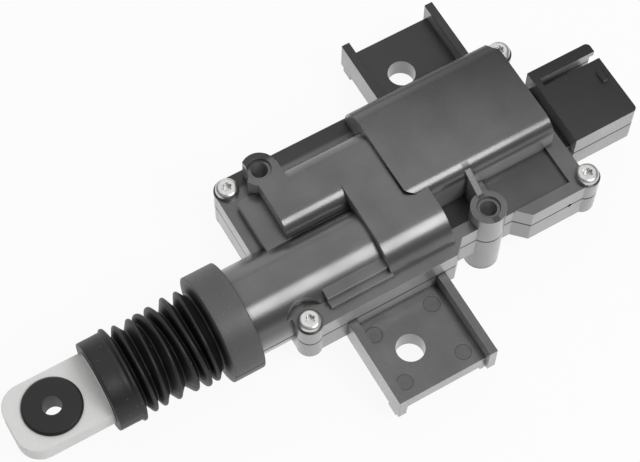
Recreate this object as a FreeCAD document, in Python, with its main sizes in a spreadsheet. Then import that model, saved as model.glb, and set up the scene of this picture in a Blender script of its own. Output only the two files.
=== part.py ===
import FreeCAD, Part
import math
import os
import Sketcher

# Door latch actuator: a two-part moulded housing holds a small motor, a centrifugal
# clutch, a pinion and a wheel on a fast-lead screw. The screw drives a nylon plunger
# in and out of a round guide tube, and a ribbed boot closes the end of the tube.
#
# Lengths are millimetres. The pieces are drawn about the screw's axis, which runs along X
# with the connector toward +X, and +Z is the cover side. The parting face of the housing
# is Z = 0 there. Each piece is then placed so that the origin of the whole part is the
# middle between the two mounting holes, in the plane of the ears' seats.

SIZES = [
    # mounting ears and their holes
    ("ear_hole_dx", 36.6, "mounting holes, step along the screw axis"),
    ("ear_hole_dy", 64.4, "mounting holes, step across the screw axis"),
    ("ear_hole_side", 25.6, "near mounting hole, distance from the screw axis"),
    ("ear_hole_bore", 7.0, "mounting hole, diameter"),
    ("ear_width", 26.2, "ear, width along the screw axis"),
    ("ear_hole_inset", 10.3, "mounting hole to the ear's left edge"),
    ("ear_reach", 10.8, "mounting hole to the ear's free edge"),
    ("ear_wall", 2.1, "ear, thickness of a side wall"),
    ("ear_floor_drop", 4.2, "ear plate's upper face below the parting face"),
    ("ear_floor", 4.2, "ear plate, thickness"),
    ("ear_seat_boss", 13.0, "seat boss round the mounting hole, diameter"),
    ("ear_seat_rise", 1.5, "seat boss below the ear plate"),
    ("ear_foot", 3.2, "corner foot under the ear plate, width"),
    ("ear_wall_past", 1.2, "ear, how far its side walls run past the plate's free edge"),
    # flange of the housing
    ("flange_left", 22.3, "flange, left edge from the near mounting hole"),
    ("flange_right", 2.5, "flange, right edge from the motor bulge"),
    ("flange_near", 14.5, "flange, near edge from the screw axis"),
    ("flange_far", 30.0, "flange, far edge from the screw axis"),
    ("cover_flange", 5.6, "cover, flange thickness"),
    ("base_flange", 6.9, "base, flange thickness"),
    ("wall", 1.6, "moulded wall thickness"),
    # guide tube, wheel bulge, clutch bulge and motor bulge
    ("tube_radius", 11.0, "guide tube, outer radius"),
    ("tube_bore", 9.0, "guide tube, bore radius"),
    ("tube_end", 39.5, "guide tube, free end from the near mounting hole"),
    ("tube_lip", 6.0, "guide lip at the tube's free end, length"),
    ("tube_groove", 0.8, "groove for the boot's bead, depth"),
    ("wheel_bulge_start", 2.8, "wheel bulge, left wall"),
    ("wheel_bulge_length", 17.2, "wheel bulge, length"),
    ("wheel_bulge_near", 12.0, "wheel bulge, near wall from the screw axis"),
    ("wheel_bulge_round", 9.3, "wheel bulge, radius along its near edge"),
    ("low_top", 12.7, "height of the wheel bulge and the clutch bulge"),
    ("clutch_bulge_start", 13.7, "clutch bulge, left wall from the near mounting hole"),
    ("clutch_bulge_near", 7.5, "clutch bulge, near wall from the screw axis"),
    ("clutch_bulge_far", 23.4, "clutch bulge, far wall from the screw axis"),
    ("clutch_round_near", 5.0, "clutch bulge, radius along its near edge"),
    ("clutch_round_far", 5.5, "clutch bulge, radius along its far edge"),
    ("motor_bulge_start", 14.4, "motor bulge, left wall at its far side"),
    ("motor_bulge_slant", 4.4, "motor bulge, how far its left edge runs to the right"),
    ("ramp_run", 2.6, "slope from the motor bulge to the lower bulges, length"),
    ("motor_bulge_end", 8.0, "motor bulge, right wall from the end of the motor can"),
    ("motor_bulge_half", 15.0, "motor bulge, half width about the motor axis"),
    ("motor_round_near", 4.6, "motor bulge, radius along its near edge"),
    ("motor_round_far", 7.5, "motor bulge, radius along its far edge"),
    ("high_top", 14.0, "height of the motor bulge"),
    # screws, bosses, pads and recesses of the housing
    ("screw_inset", 3.1, "left housing screws from the flange's left edge"),
    ("screw_far", 26.9, "far housing screws from the screw axis"),
    ("screw_near", 12.1, "near housing screws from the screw axis"),
    ("screw_lug", 3.2, "lug round a housing screw, radius"),
    ("screw_relief", 5.2, "room for the driver round a housing screw, radius"),
    ("screw_pilot", 1.25, "pilot hole in the base, radius"),
    ("screw_thread", 1.2, "housing screw, shank radius"),
    ("screw_head", 2.8, "housing screw, head radius"),
    ("screw_head_rise", 1.9, "housing screw, head height"),
    ("screw_length", 11.0, "housing screw, shank length"),
    ("screw_socket", 1.25, "six-lobe socket, radius over the lobes"),
    ("near_boss_x", 30.5, "near boss, from the near mounting hole"),
    ("near_boss_y", 9.1, "near boss, from the screw axis"),
    ("near_boss_top", 9.7, "near boss, height above the parting face"),
    ("near_boss_bottom", 14.5, "near boss, depth below the parting face"),
    ("far_boss_x", 11.5, "far boss, from the near mounting hole"),
    ("far_boss_y", 24.8, "far boss, from the screw axis"),
    ("boss_radius", 4.35, "bosses, outer radius"),
    ("boss_bore", 2.05, "bosses, bore radius"),
    ("boss_lip", 2.9, "bosses, radius of the countersink at the top"),
    ("boss_lip_depth", 0.6, "bosses, depth of the countersink"),
    ("boss_web", 6.9, "right edge of the far boss's web from the near mounting hole"),
    ("rib", 1.5, "rib between the near boss and the motor bulge"),
    ("notch_left", 19.0, "flange notch at the near boss, left corner"),
    ("notch_right", 39.9, "flange notch at the near boss, right corner"),
    ("notch_depth", 3.3, "flange notch at the near boss, depth"),
    ("pad_left", 19.4, "low pad, left edge from the near mounting hole"),
    ("pad_far", 21.8, "low pad, far edge from the screw axis"),
    ("pad_top", 8.3, "low pad, height"),
    ("ledge_in", 10.0, "upper ledge beside the tube, outer edge from the screw axis"),
    ("ledge_out", 11.8, "lower ledge beside the tube, outer edge from the screw axis"),
    ("ledge_step", 1.25, "height of one ledge step"),
    ("recess_right", 4.4, "shallow recess, right wall from the flange's right edge"),
    ("recess_near", 11.4, "shallow recess, near wall from the screw axis"),
    ("recess_depth", 1.0, "shallow recess, depth"),
    ("pocket_depth", 3.6, "deep pocket between the wheel bulge and the rib, depth"),
    ("drain_x", 50.8, "drain hole in the near side, from the near mounting hole"),
    ("drain_radius", 0.6, "drain hole, radius"),
    ("tab_first", 17.9, "tabs on the right flange edge, far one from the screw axis"),
    ("tab_pitch", 4.7, "tabs on the right flange edge, pitch"),
    ("tab_radius", 1.5, "tabs on the right flange edge, radius"),
    ("tab_rise", 4.2, "tabs on the right flange edge, height"),
    # connector
    ("plug_start", 2.9, "connector, back wall from the flange's right edge"),
    ("plug_end", 17.6, "connector, open end from its back wall"),
    ("plug_near", 3.2, "connector, near wall from the screw axis"),
    ("plug_far", 18.5, "connector, far wall from the screw axis"),
    ("plug_top", 6.1, "connector, top above the parting face"),
    ("plug_bottom", 6.2, "connector, bottom below the parting face"),
    ("plug_wall", 1.7, "connector, wall thickness"),
    ("plug_back", 2.2, "connector, thickness of the back wall"),
    ("plug_slot_in", 13.5, "key slot, near edge from the screw axis"),
    ("plug_slot", 2.1, "key slot, width"),
    ("plug_round", 1.2, "connector, radius of the corners at the open end"),
    ("plug_neck", 1.2, "neck that carries the connector, height above the parting face"),
    ("plug_nub_far", 10.3, "latch nub, far side from the screw axis"),
    ("plug_nub_width", 3.2, "latch nub, width"),
    ("plug_nub_length", 1.9, "latch nub, length"),
    ("plug_nub_rise", 0.9, "latch nub, height"),
    ("blade_width", 4.8, "contact blade, width"),
    ("blade_thick", 0.8, "contact blade, thickness"),
    ("blade_pitch", 8.6, "contact blades, pitch"),
    ("blade_reach", 9.0, "contact blade, length inside the connector"),
    # drive train
    ("module", 0.6, "teeth of the pinion and the wheel, module"),
    ("pinion_teeth", 12.0, "pinion, number of teeth"),
    ("wheel_teeth", 36.0, "wheel, number of teeth"),
    ("pressure_angle", 25.0, "teeth, pressure angle in degrees"),
    ("tooth_play", 0.16, "teeth, play along the pitch circle"),
    ("gear_start", 7.0, "wheel, left face from the near mounting hole"),
    ("gear_face", 6.0, "wheel, face width"),
    ("gear_clear", 0.4, "room round the rotating pieces"),
    ("hub_radius", 5.0, "wheel, hub radius"),
    ("lead_length", 16.0, "screw, travel for one turn"),
    ("thread_starts", 4.0, "screw, number of thread starts"),
    ("thread_outer", 4.0, "screw, outer radius"),
    ("thread_root", 3.0, "screw, root radius"),
    ("thread_play", 0.2, "nut, play all round the thread"),
    ("screw_tip", 32.0, "screw, tip from the near mounting hole"),
    ("journal_radius", 3.0, "screw, journal radius"),
    ("running_play", 0.05, "radial play of a journal in its bush"),
    ("bush_wall", 2.0, "bushes of the screw, wall thickness"),
    ("bush_length", 3.2, "bushes of the screw, length"),
    ("bush_start", 1.0, "front bush, left face from the near mounting hole"),
    ("washer_thick", 0.8, "thrust washers, thickness"),
    ("end_play", 0.1, "play along the axis beside a thrust washer or a bumper"),
    ("shaft_bush", 2.0, "outboard bush of the motor shaft, length"),
    # plunger, nut, bumpers and boot
    ("stroke_out", 12.0, "plunger travel outward from the position shown"),
    ("stroke_in", 7.0, "plunger travel inward from the position shown"),
    ("slide_play", 0.3, "radial play of the plunger in its guides"),
    ("shank_radius", 7.2, "plunger shank, radius"),
    ("plunger_tip", 89.5, "plunger's tip from the near mounting hole"),
    ("bar_width", 17.3, "plunger's flat end, width"),
    ("bar_thick", 5.0, "plunger's flat end, thickness"),
    ("bar_round", 5.6, "plunger's flat end, corner radius"),
    ("neck_radius", 8.7, "plunger's neck inside the boot, radius"),
    ("key_width", 3.0, "plunger's guide keys, width"),
    ("key_rise", 0.9, "plunger's guide keys, height"),
    ("nut_length", 9.0, "nut, length"),
    ("nut_radius", 6.2, "nut, outer radius"),
    ("bumper_thick", 1.6, "rubber bumpers, thickness"),
    ("grommet_x", 78.9, "rod grommet from the near mounting hole"),
    ("grommet_radius", 7.1, "rod grommet, flange radius"),
    ("grommet_neck", 4.3, "rod grommet, neck radius"),
    ("grommet_bore", 2.35, "rod grommet, bore radius"),
    ("grommet_rise", 0.95, "rod grommet, flange thickness"),
    ("boot_collar_start", 31.4, "boot, inner face of its large collar"),
    ("boot_collar", 9.4, "boot, length of its large collar"),
    ("boot_bead", 4.0, "boot's inner bead, from the inner face of the large collar"),
    ("boot_bead_length", 2.0, "boot's inner bead, length"),
    ("boot_collar_radius", 2.6, "boot, large collar past the tube's radius"),
    ("boot_collar_round", 2.0, "boot, bevel of its large collar"),
    ("boot_wall", 1.0, "boot, wall thickness"),
    ("boot_ridges", 7.0, "boot, number of ridges"),
    ("boot_ridge_radius", 11.3, "boot, radius over its ridges"),
    ("boot_root_radius", 9.3, "boot, radius between its ridges"),
    ("boot_small_start", 62.6, "boot, inner face of its small collar"),
    ("boot_small_end", 67.6, "boot, outer face of its small collar"),
    ("boot_small_radius", 11.1, "boot, radius of its small collar"),
    # motor and clutch
    ("can_radius", 13.1, "motor can, outer radius"),
    ("can_flat", 11.6, "motor can, half height over its flats"),
    ("can_start", 19.4, "motor can, left face"),
    ("can_length", 26.6, "motor can, length"),
    ("can_wall", 1.0, "motor can, sheet thickness"),
    ("can_nose", 3.4, "motor can, radius of its bearing nose"),
    ("can_nose_length", 2.0, "motor can, length of its bearing nose"),
    ("motor_bush_wall", 1.2, "bushes of the motor shaft, wall thickness"),
    ("magnet_thick", 3.4, "magnets, thickness"),
    ("magnet_length", 20.0, "magnets, length"),
    ("magnet_gap", 62.0, "magnets, gap between the two arcs in degrees"),
    ("core_radius", 7.9, "armature stack, radius"),
    ("core_length", 11.6, "armature stack, how much shorter it is than the can"),
    ("core_slots", 5.0, "armature stack, number of slots"),
    ("shaft_radius", 1.0, "motor shaft, radius"),
    ("coil_overhang", 2.4, "coils, how far they stand out of the stack"),
    ("coil_clear", 0.1, "room between the coils and the commutator"),
    ("commutator_radius", 2.6, "commutator, radius"),
    ("commutator_length", 4.2, "commutator, length"),
    ("brush_size", 1.8, "brush, side of its section"),
    ("cap_length", 2.4, "motor end cap, plate thickness"),
    ("drum_radius", 4.4, "clutch drum, outer radius"),
    ("drum_length", 8.0, "clutch drum, length"),
    ("drum_wall", 0.9, "clutch drum, wall thickness"),
    ("shoe_thick", 1.5, "clutch shoes, thickness"),
    ("shoe_clear", 0.2, "room between the clutch shoes and the drum"),
    ("sleeve_radius", 2.2, "pinion sleeve, outer radius"),
    ("cutout_length", 9.0, "thermal cutout, length"),
    ("cutout_thick", 2.1, "thermal cutout, thickness"),
]

doc = FreeCAD.newDocument("door_latch_actuator")
sheet = doc.addObject("Spreadsheet::Sheet", "sizes")
for row, (word, number, meaning) in enumerate(SIZES, start=1):
    sheet.set("A%d" % row, str(number))
    sheet.setAlias("A%d" % row, word)
    sheet.set("B%d" % row, meaning)
doc.recompute()


class Size:
    """A length that knows its number and the sheet formula that gives it."""

    def __init__(self, number, formula):
        self.number = float(number)
        self.formula = formula

    def joined(self, other, sign, number):
        return Size(number, "(%s %s %s)" % (self.formula, sign, sized(other).formula))

    def __add__(self, other):
        return self.joined(other, "+", self.number + sized(other).number)

    def __radd__(self, other):
        return sized(other) + self

    def __sub__(self, other):
        return self.joined(other, "-", self.number - sized(other).number)

    def __rsub__(self, other):
        return sized(other) - self

    def __mul__(self, other):
        return self.joined(other, "*", self.number * sized(other).number)

    def __rmul__(self, other):
        return sized(other) * self

    def __truediv__(self, other):
        return self.joined(other, "/", self.number / sized(other).number)

    def __neg__(self):
        return Size(0, "0") - self


def sized(value):
    """The value as a Size; a bare number becomes its own formula."""
    if isinstance(value, Size):
        return value
    return Size(value, "(%s)" % repr(float(value)))


def size(word):
    return Size(sheet.get(word), "sizes.%s" % word)


S = {word: size(word) for word, number, meaning in SIZES}
ZERO = sized(0)

# Places that several pieces share
SEAT_DROP = S["ear_floor_drop"] + S["ear_floor"] + S["ear_seat_rise"]
ORIGIN = (
    -S["ear_hole_dx"] / 2,
    S["ear_hole_side"] - S["ear_hole_dy"] / 2,
    SEAT_DROP,
)
MOTOR_Y = S["module"] * (S["pinion_teeth"] + S["wheel_teeth"]) / 2
CAN_END = S["can_start"] + S["can_length"]
MOTOR_END = CAN_END + S["motor_bulge_end"]
FLANGE_RIGHT = MOTOR_END + S["flange_right"]
PLUG_START = FLANGE_RIGHT + S["plug_start"]
PLUG_END = PLUG_START + S["plug_end"]
SCREW_PLACES = [
    (S["screw_inset"] - S["flange_left"], S["screw_far"]),
    (S["screw_inset"] - S["flange_left"], -S["screw_near"]),
    (FLANGE_RIGHT, S["screw_far"]),
    (FLANGE_RIGHT, -S["screw_near"]),
]
NEAR_BOSS = (S["near_boss_x"], -S["near_boss_y"])
FAR_BOSS = (-S["far_boss_x"], S["far_boss_y"])
MOTOR_NEAR = MOTOR_Y - S["motor_bulge_half"]
MOTOR_FAR = MOTOR_Y + S["motor_bulge_half"]
PLUG_NEAR = -S["plug_near"]
WHEEL_END = S["wheel_bulge_start"] + S["wheel_bulge_length"]
CHAMBER_START = S["bush_start"] + S["bush_length"]
CHAMBER_END = WHEEL_END - S["wall"]
REAR_BUSH_START = CHAMBER_END - S["bush_length"]
BUSH_OUTER = S["journal_radius"] + S["running_play"] + S["bush_wall"]
HUB_START = CHAMBER_START + S["washer_thick"] + S["end_play"]
HUB_END = REAR_BUSH_START - S["washer_thick"] - S["end_play"]
PINION_START = S["gear_start"] - 0.5
PINION_END = S["gear_start"] + S["gear_face"] + 0.5
SHAFT_BUSH_START = S["wall"] - S["clutch_bulge_start"]
MOTOR_BUSH_OUTER = S["shaft_radius"] + S["running_play"] + S["motor_bush_wall"]
DRUM_START = SHAFT_BUSH_START + S["shaft_bush"] + 0.6
DRUM_END = DRUM_START + S["drum_length"]
SHOE_OUTER = S["drum_radius"] - S["drum_wall"] - S["shoe_clear"]
LIP_START = S["tube_lip"] - S["tube_end"]
BEAD_END = -S["boot_collar_start"] - S["boot_bead"] - S["boot_bead_length"]
HEAD_RADIUS = S["tube_bore"] - S["slide_play"]
PLUNGER_REAR = S["bush_start"] - S["bumper_thick"] - S["stroke_in"] - S["end_play"]
HEAD_END = LIP_START + S["bumper_thick"] + S["stroke_out"] + S["end_play"]
ROOM_END = MOTOR_END - S["wall"]
PLUG_MIDDLE = (S["plug_far"] - S["plug_near"]) / 2
BLADE_PLACES = [PLUG_MIDDLE - S["blade_pitch"] / 2, PLUG_MIDDLE + S["blade_pitch"] / 2]


# Helpers that draw and place one piece


def put(piece, dx=ZERO, dy=ZERO, dz=ZERO):
    """Bind the piece's placement to the origin of the whole part, plus a shift."""
    for axis, base, shift in zip("xyz", ORIGIN, (dx, dy, dz)):
        piece.setExpression("Placement.Base.%s" % axis, (base + shift).formula)
    return piece


def new_body(name, dx=ZERO, dy=ZERO, dz=ZERO):
    body = doc.addObject("PartDesign::Body", name)
    body.Label = name
    return put(body, dx, dy, dz)


def new_sketch(body, plane, lift=ZERO):
    """A sketch on one of the body's own origin planes, lifted along the plane's normal."""
    sketch = body.newObject("Sketcher::SketchObject", "%s_profile" % body.Name)
    support = [item for item in body.Origin.OriginFeatures if item.Role == plane][0]
    sketch.AttachmentSupport = [(support, "")]
    sketch.MapMode = "FlatFace"
    sketch.setExpression("AttachmentOffset.Base.z", sized(lift).formula)
    return sketch


def hold(sketch, kind, value, *where):
    """One constraint of the sketch, tied to the sheet."""
    value = sized(value)
    index = sketch.addConstraint(Sketcher.Constraint(kind, *where, value.number))
    sketch.setExpression("Constraints[%d]" % index, value.formula)


def vector(point):
    return FreeCAD.Vector(sized(point[0]).number, sized(point[1]).number, 0)


def outline(sketch, corners):
    """A closed run of straight lines; every corner is held at its place."""
    first = sketch.GeometryCount
    count = len(corners)
    for index in range(count):
        start = vector(corners[index])
        end = vector(corners[(index + 1) % count])
        sketch.addGeometry(Part.LineSegment(start, end), False)
    for index in range(count):
        following = first + (index + 1) % count
        sketch.addConstraint(Sketcher.Constraint("Coincident", first + index, 2, following, 1))
        hold(sketch, "DistanceX", corners[index][0], first + index, 1)
        hold(sketch, "DistanceY", corners[index][1], first + index, 1)
    return sketch


def box_outline(sketch, left, right, low, high):
    return outline(sketch, [(left, low), (right, low), (right, high), (left, high)])


def circles(sketch, places, radius):
    for place in places:
        circle(sketch, place, radius)
    return sketch


def circle(sketch, centre, radius):
    radius = sized(radius)
    round_line = Part.Circle(vector(centre), FreeCAD.Vector(0, 0, 1), radius.number)
    index = sketch.addGeometry(round_line, False)
    hold(sketch, "DistanceX", centre[0], index, 3)
    hold(sketch, "DistanceY", centre[1], index, 3)
    hold(sketch, "Radius", radius, index)
    return sketch


def arch(sketch, near, far, top, round_near, round_far):
    """Side walls and a flat roof with a quarter circle at each shoulder, closed at the foot."""
    foot = ZERO
    up = 1 if top.number > 0 else -1
    inner_near = near + round_near
    inner_far = far - round_far
    shoulder_near = top - round_near * up
    shoulder_far = top - round_far * up
    first = sketch.GeometryCount
    flat = FreeCAD.Vector(0, 0, 1)
    quarter = math.pi / 2
    sketch.addGeometry(Part.LineSegment(vector((near, foot)), vector((near, shoulder_near))), False)
    sketch.addGeometry(Part.LineSegment(vector((inner_near, top)), vector((inner_far, top))), False)
    sketch.addGeometry(Part.LineSegment(vector((far, shoulder_far)), vector((far, foot))), False)
    sketch.addGeometry(Part.LineSegment(vector((far, foot)), vector((near, foot))), False)
    near_start = quarter if up > 0 else math.pi
    far_start = 0 if up > 0 else 3 * quarter
    near_circle = Part.Circle(vector((inner_near, shoulder_near)), flat, round_near.number)
    far_circle = Part.Circle(vector((inner_far, shoulder_far)), flat, round_far.number)
    sketch.addGeometry(Part.ArcOfCircle(near_circle, near_start, near_start + quarter), False)
    sketch.addGeometry(Part.ArcOfCircle(far_circle, far_start, far_start + quarter), False)
    wall_near, roof, wall_far, base, arc_near, arc_far = range(first, first + 6)
    near_wall_end, near_roof_end = (2, 1) if up > 0 else (1, 2)
    far_wall_end, far_roof_end = (1, 2) if up > 0 else (2, 1)
    for pair in (
        (wall_near, 2, arc_near, near_wall_end),
        (roof, 1, arc_near, near_roof_end),
        (roof, 2, arc_far, far_roof_end),
        (wall_far, 1, arc_far, far_wall_end),
        (wall_far, 2, base, 1),
        (base, 2, wall_near, 1),
    ):
        sketch.addConstraint(Sketcher.Constraint("Coincident", *pair))
    for arc, wall_end, roof_end, across, shoulder, radius in (
        (arc_near, near_wall_end, near_roof_end, inner_near, shoulder_near, round_near),
        (arc_far, far_wall_end, far_roof_end, inner_far, shoulder_far, round_far),
    ):
        hold(sketch, "DistanceX", across, arc, 3)
        hold(sketch, "DistanceY", shoulder, arc, 3)
        hold(sketch, "Radius", radius, arc)
        sketch.addConstraint(Sketcher.Constraint("Horizontal", arc, 3, arc, wall_end))
        sketch.addConstraint(Sketcher.Constraint("Vertical", arc, 3, arc, roof_end))
    for line, end, across in ((wall_near, 1, near), (wall_far, 2, far)):
        hold(sketch, "DistanceX", across, line, end)
        hold(sketch, "DistanceY", foot, line, end)
    return sketch


def feature(body, kind, sketch):
    made = body.newObject(kind, "%s_%s" % (body.Name, kind.split("::")[1].lower()))
    made.Profile = sketch
    made.Refine = False
    return made


def finished(body):
    """The last feature joins the faces that lie in one surface."""
    body.Tip.Refine = True
    return body


def pad(body, sketch, length, forward=True):
    """Material from the sketch, along its normal or against it."""
    made = feature(body, "PartDesign::Pad", sketch)
    made.setExpression("Length", sized(length).formula)
    made.Reversed = not forward
    return made


def pocket(body, sketch, length, forward=True):
    """A cut from the sketch, along its normal or against it."""
    made = feature(body, "PartDesign::Pocket", sketch)
    made.setExpression("Length", sized(length).formula)
    made.Reversed = forward
    return made


def turn(body, corners, kind="PartDesign::Revolution", angle=360, forward=True, axis_y=ZERO):
    """A profile of (x, radius) corners turned about an axis along X at the given Y."""
    sketch = new_sketch(body, "XY_Plane")
    outline(sketch, [(x, axis_y + radius) for x, radius in corners])
    made = feature(body, kind, sketch)
    if axis_y is ZERO:
        made.ReferenceAxis = (sketch, ["H_Axis"])
    else:
        index = sketch.addGeometry(Part.LineSegment(vector((0, axis_y)), vector((10, axis_y))), True)
        hold(sketch, "DistanceX", 0, index, 1)
        hold(sketch, "DistanceY", axis_y, index, 1)
        hold(sketch, "DistanceX", 10, index, 2)
        hold(sketch, "DistanceY", axis_y, index, 2)
        made.ReferenceAxis = (sketch, ["Axis0"])
    made.Angle = angle
    made.Reversed = not forward
    return made


def turned(name, corners, axis_y=ZERO):
    """A separate round piece; it is drawn about its own axis and placed at axis_y."""
    body = new_body(name, dy=axis_y)
    turn(body, corners)
    return body


def ring(start, length, inner, outer):
    """Profile of a plain ring."""
    end = start + length
    return [(start, inner), (end, inner), (end, outer), (start, outer)]


def edges_where(made, test):
    """Names of the feature's straight edges whose two ends pass the test."""
    doc.recompute()
    names = []
    for number, edge in enumerate(made.Shape.Edges, start=1):
        if len(edge.Vertexes) != 2:
            continue
        if not isinstance(edge.Curve, (Part.Line, Part.LineSegment)):
            continue
        ends = [vertex.Point for vertex in edge.Vertexes]
        if test(ends[0], ends[1]):
            names.append("Edge%d" % number)
    return names


def rounded(body, made, test, radius):
    """A fillet on the straight edges that pass the test."""
    names = edges_where(made, test)
    fillet = body.newObject("PartDesign::Fillet", "%s_fillet" % body.Name)
    fillet.Base = (made, names)
    fillet.setExpression("Radius", sized(radius).formula)
    body.Tip = fillet
    return fillet


def near(a, b):
    return abs(a - sized(b).number) < 0.01


# Housing: both halves share the flange, the bulges and the hollows


def flange(body, up):
    """The flat rim with its notch at the near boss and a round lug at each housing screw."""
    depth = S["cover_flange"] if up else S["base_flange"]
    left = -S["flange_left"]
    near_edge = -S["flange_near"]
    notch_edge = near_edge + S["notch_depth"]
    slope = S["notch_depth"]
    corners = [
        (left, near_edge + S["screw_inset"]),
        (left + S["screw_inset"], near_edge),
        (S["notch_left"], near_edge),
        (S["notch_left"] + slope, notch_edge),
        (S["notch_right"] - slope, notch_edge),
        (S["notch_right"], near_edge),
        (FLANGE_RIGHT, near_edge),
        (FLANGE_RIGHT, S["flange_far"]),
        (left + S["screw_inset"], S["flange_far"]),
        (left, S["flange_far"] - S["screw_inset"]),
    ]
    plate = pad(body, outline(new_sketch(body, "XY_Plane"), corners), depth, up)
    pad(body, circles(new_sketch(body, "XY_Plane"), SCREW_PLACES, S["screw_lug"]), depth, up)
    return plate


def bulges(body, up):
    """Guide tube and wheel bulge as half rounds, clutch and motor bulges as arches."""
    side = 1 if up else -1
    half = 180
    tube = [
        (-S["tube_end"], ZERO),
        (-S["tube_end"], S["tube_radius"]),
        (S["wheel_bulge_start"] + 1, S["tube_radius"]),
        (S["wheel_bulge_start"] + 1, ZERO),
    ]
    turn(body, tube, angle=half, forward=up)
    # the tube runs into the wheel bulge, whose flat top is level with the clutch bulge
    low = S["low_top"] * side
    wheel = new_sketch(body, "YZ_Plane", S["wheel_bulge_start"])
    far_round = S["clutch_round_far"]
    wheel_far = S["clutch_bulge_far"] - 1
    arch(wheel, -S["wheel_bulge_near"], wheel_far, low, S["wheel_bulge_round"], far_round)
    pad(body, wheel, S["wheel_bulge_length"])
    clutch = new_sketch(body, "YZ_Plane", -S["clutch_bulge_start"])
    clutch_near, clutch_far = S["clutch_bulge_near"], S["clutch_bulge_far"]
    arch(clutch, clutch_near, clutch_far, low, S["clutch_round_near"], far_round)
    pad(body, clutch, S["clutch_bulge_start"] + S["motor_bulge_start"] + 3)
    motor = new_sketch(body, "YZ_Plane", S["motor_bulge_start"])
    high = S["high_top"] * side
    arch(motor, MOTOR_NEAR, MOTOR_FAR, high, S["motor_round_near"], S["motor_round_far"])
    pad(body, motor, MOTOR_END - S["motor_bulge_start"])


def connector_half(body, up):
    """Half of the connector's shroud, its back wall and the neck that carries it."""
    depth = S["plug_top"] if up else S["plug_bottom"]
    shell = new_sketch(body, "XY_Plane")
    box_outline(shell, PLUG_START, PLUG_END, PLUG_NEAR, S["plug_far"])
    made = pad(body, shell, depth, up)

    def upright(a, b):
        at_side = near(a.y, PLUG_NEAR) or near(a.y, S["plug_far"])
        return near(a.x, b.x) and near(a.y, b.y) and near(a.x, PLUG_END) and at_side

    rounded(body, made, upright, S["plug_round"])
    near_in = PLUG_NEAR + S["plug_wall"]
    far_in = S["plug_far"] - S["plug_wall"]
    neck = new_sketch(body, "XY_Plane")
    box_outline(neck, FLANGE_RIGHT - 1, PLUG_START + 1, near_in, far_in)
    pad(body, neck, S["plug_neck"] if up else S["base_flange"] - S["plug_neck"], up)
    hollow = new_sketch(body, "XY_Plane")
    box_outline(hollow, PLUG_START + S["plug_back"], PLUG_END + 1, near_in, far_in)
    pocket(body, hollow, depth - S["plug_wall"], up)


def hollows(body, up):
    """Room for the plunger, the wheel, the clutch and the motor."""
    play = S["gear_clear"]
    gear_room = tip_radius("wheel_teeth") + play
    lip_bore = S["shank_radius"] + S["slide_play"]
    bore = [
        (-S["tube_end"] - 1, ZERO),
        (-S["tube_end"] - 1, lip_bore),
        (LIP_START, lip_bore),
        (LIP_START, S["tube_bore"]),
        (S["bush_start"], S["tube_bore"]),
        (S["bush_start"], BUSH_OUTER),
        (CHAMBER_START, BUSH_OUTER),
        (CHAMBER_START, gear_room),
        (REAR_BUSH_START, gear_room),
        (REAR_BUSH_START, BUSH_OUTER),
        (CHAMBER_END, BUSH_OUTER),
        (CHAMBER_END, ZERO),
    ]
    turn(body, bore, "PartDesign::Groove")
    groove_floor = S["tube_radius"] - S["tube_groove"]
    groove = ring(BEAD_END, S["boot_bead_length"], groove_floor, S["tube_radius"] + 1)
    turn(body, groove, "PartDesign::Groove")
    drum_room = S["drum_radius"] + play
    pinion_room = tip_radius("pinion_teeth") + play
    drive = [
        (SHAFT_BUSH_START, ZERO),
        (SHAFT_BUSH_START, MOTOR_BUSH_OUTER),
        (SHAFT_BUSH_START + S["shaft_bush"], MOTOR_BUSH_OUTER),
        (SHAFT_BUSH_START + S["shaft_bush"], drum_room),
        (DRUM_END + play, drum_room),
        (DRUM_END + play, pinion_room),
        (S["can_start"], pinion_room),
        (S["can_start"], ZERO),
    ]
    turn(body, drive, "PartDesign::Groove", axis_y=MOTOR_Y)
    # the motor's room follows its bulge at the distance of the wall
    wall = S["wall"]
    room = new_sketch(body, "YZ_Plane", S["can_start"])
    roof = S["can_flat"] if up else -S["can_flat"]
    inner_near, inner_far = S["motor_round_near"] - wall, S["motor_round_far"] - wall
    arch(room, MOTOR_NEAR + wall, MOTOR_FAR - wall, roof, inner_near, inner_far)
    pocket(body, room, ROOM_END - S["can_start"])
    # keyway on the near side of the guide tube, half in each housing
    keyway = new_sketch(body, "XY_Plane")
    key_floor = -S["tube_bore"] - S["key_rise"]
    box_outline(keyway, LIP_START, S["bush_start"], key_floor, -S["tube_bore"] + 1)
    pocket(body, keyway, S["key_width"] / 2 + S["slide_play"], up)
    # drain hole on the near side, half in each housing
    drain = new_sketch(body, "XZ_Plane", S["flange_near"])
    pocket(body, circle(drain, (S["drain_x"], ZERO), S["drain_radius"]), S["wall"], False)
    # slots for the contact blades through the flange, the neck and the connector's back
    for middle in BLADE_PLACES:
        slot = new_sketch(body, "XY_Plane")
        reach = S["blade_width"] / 2 + S["running_play"]
        slot_end = PLUG_START + S["plug_back"] + 1
        box_outline(slot, ROOM_END - 1, slot_end, middle - reach, middle + reach)
        pocket(body, slot, S["blade_thick"] / 2 + S["running_play"], up)


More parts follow.
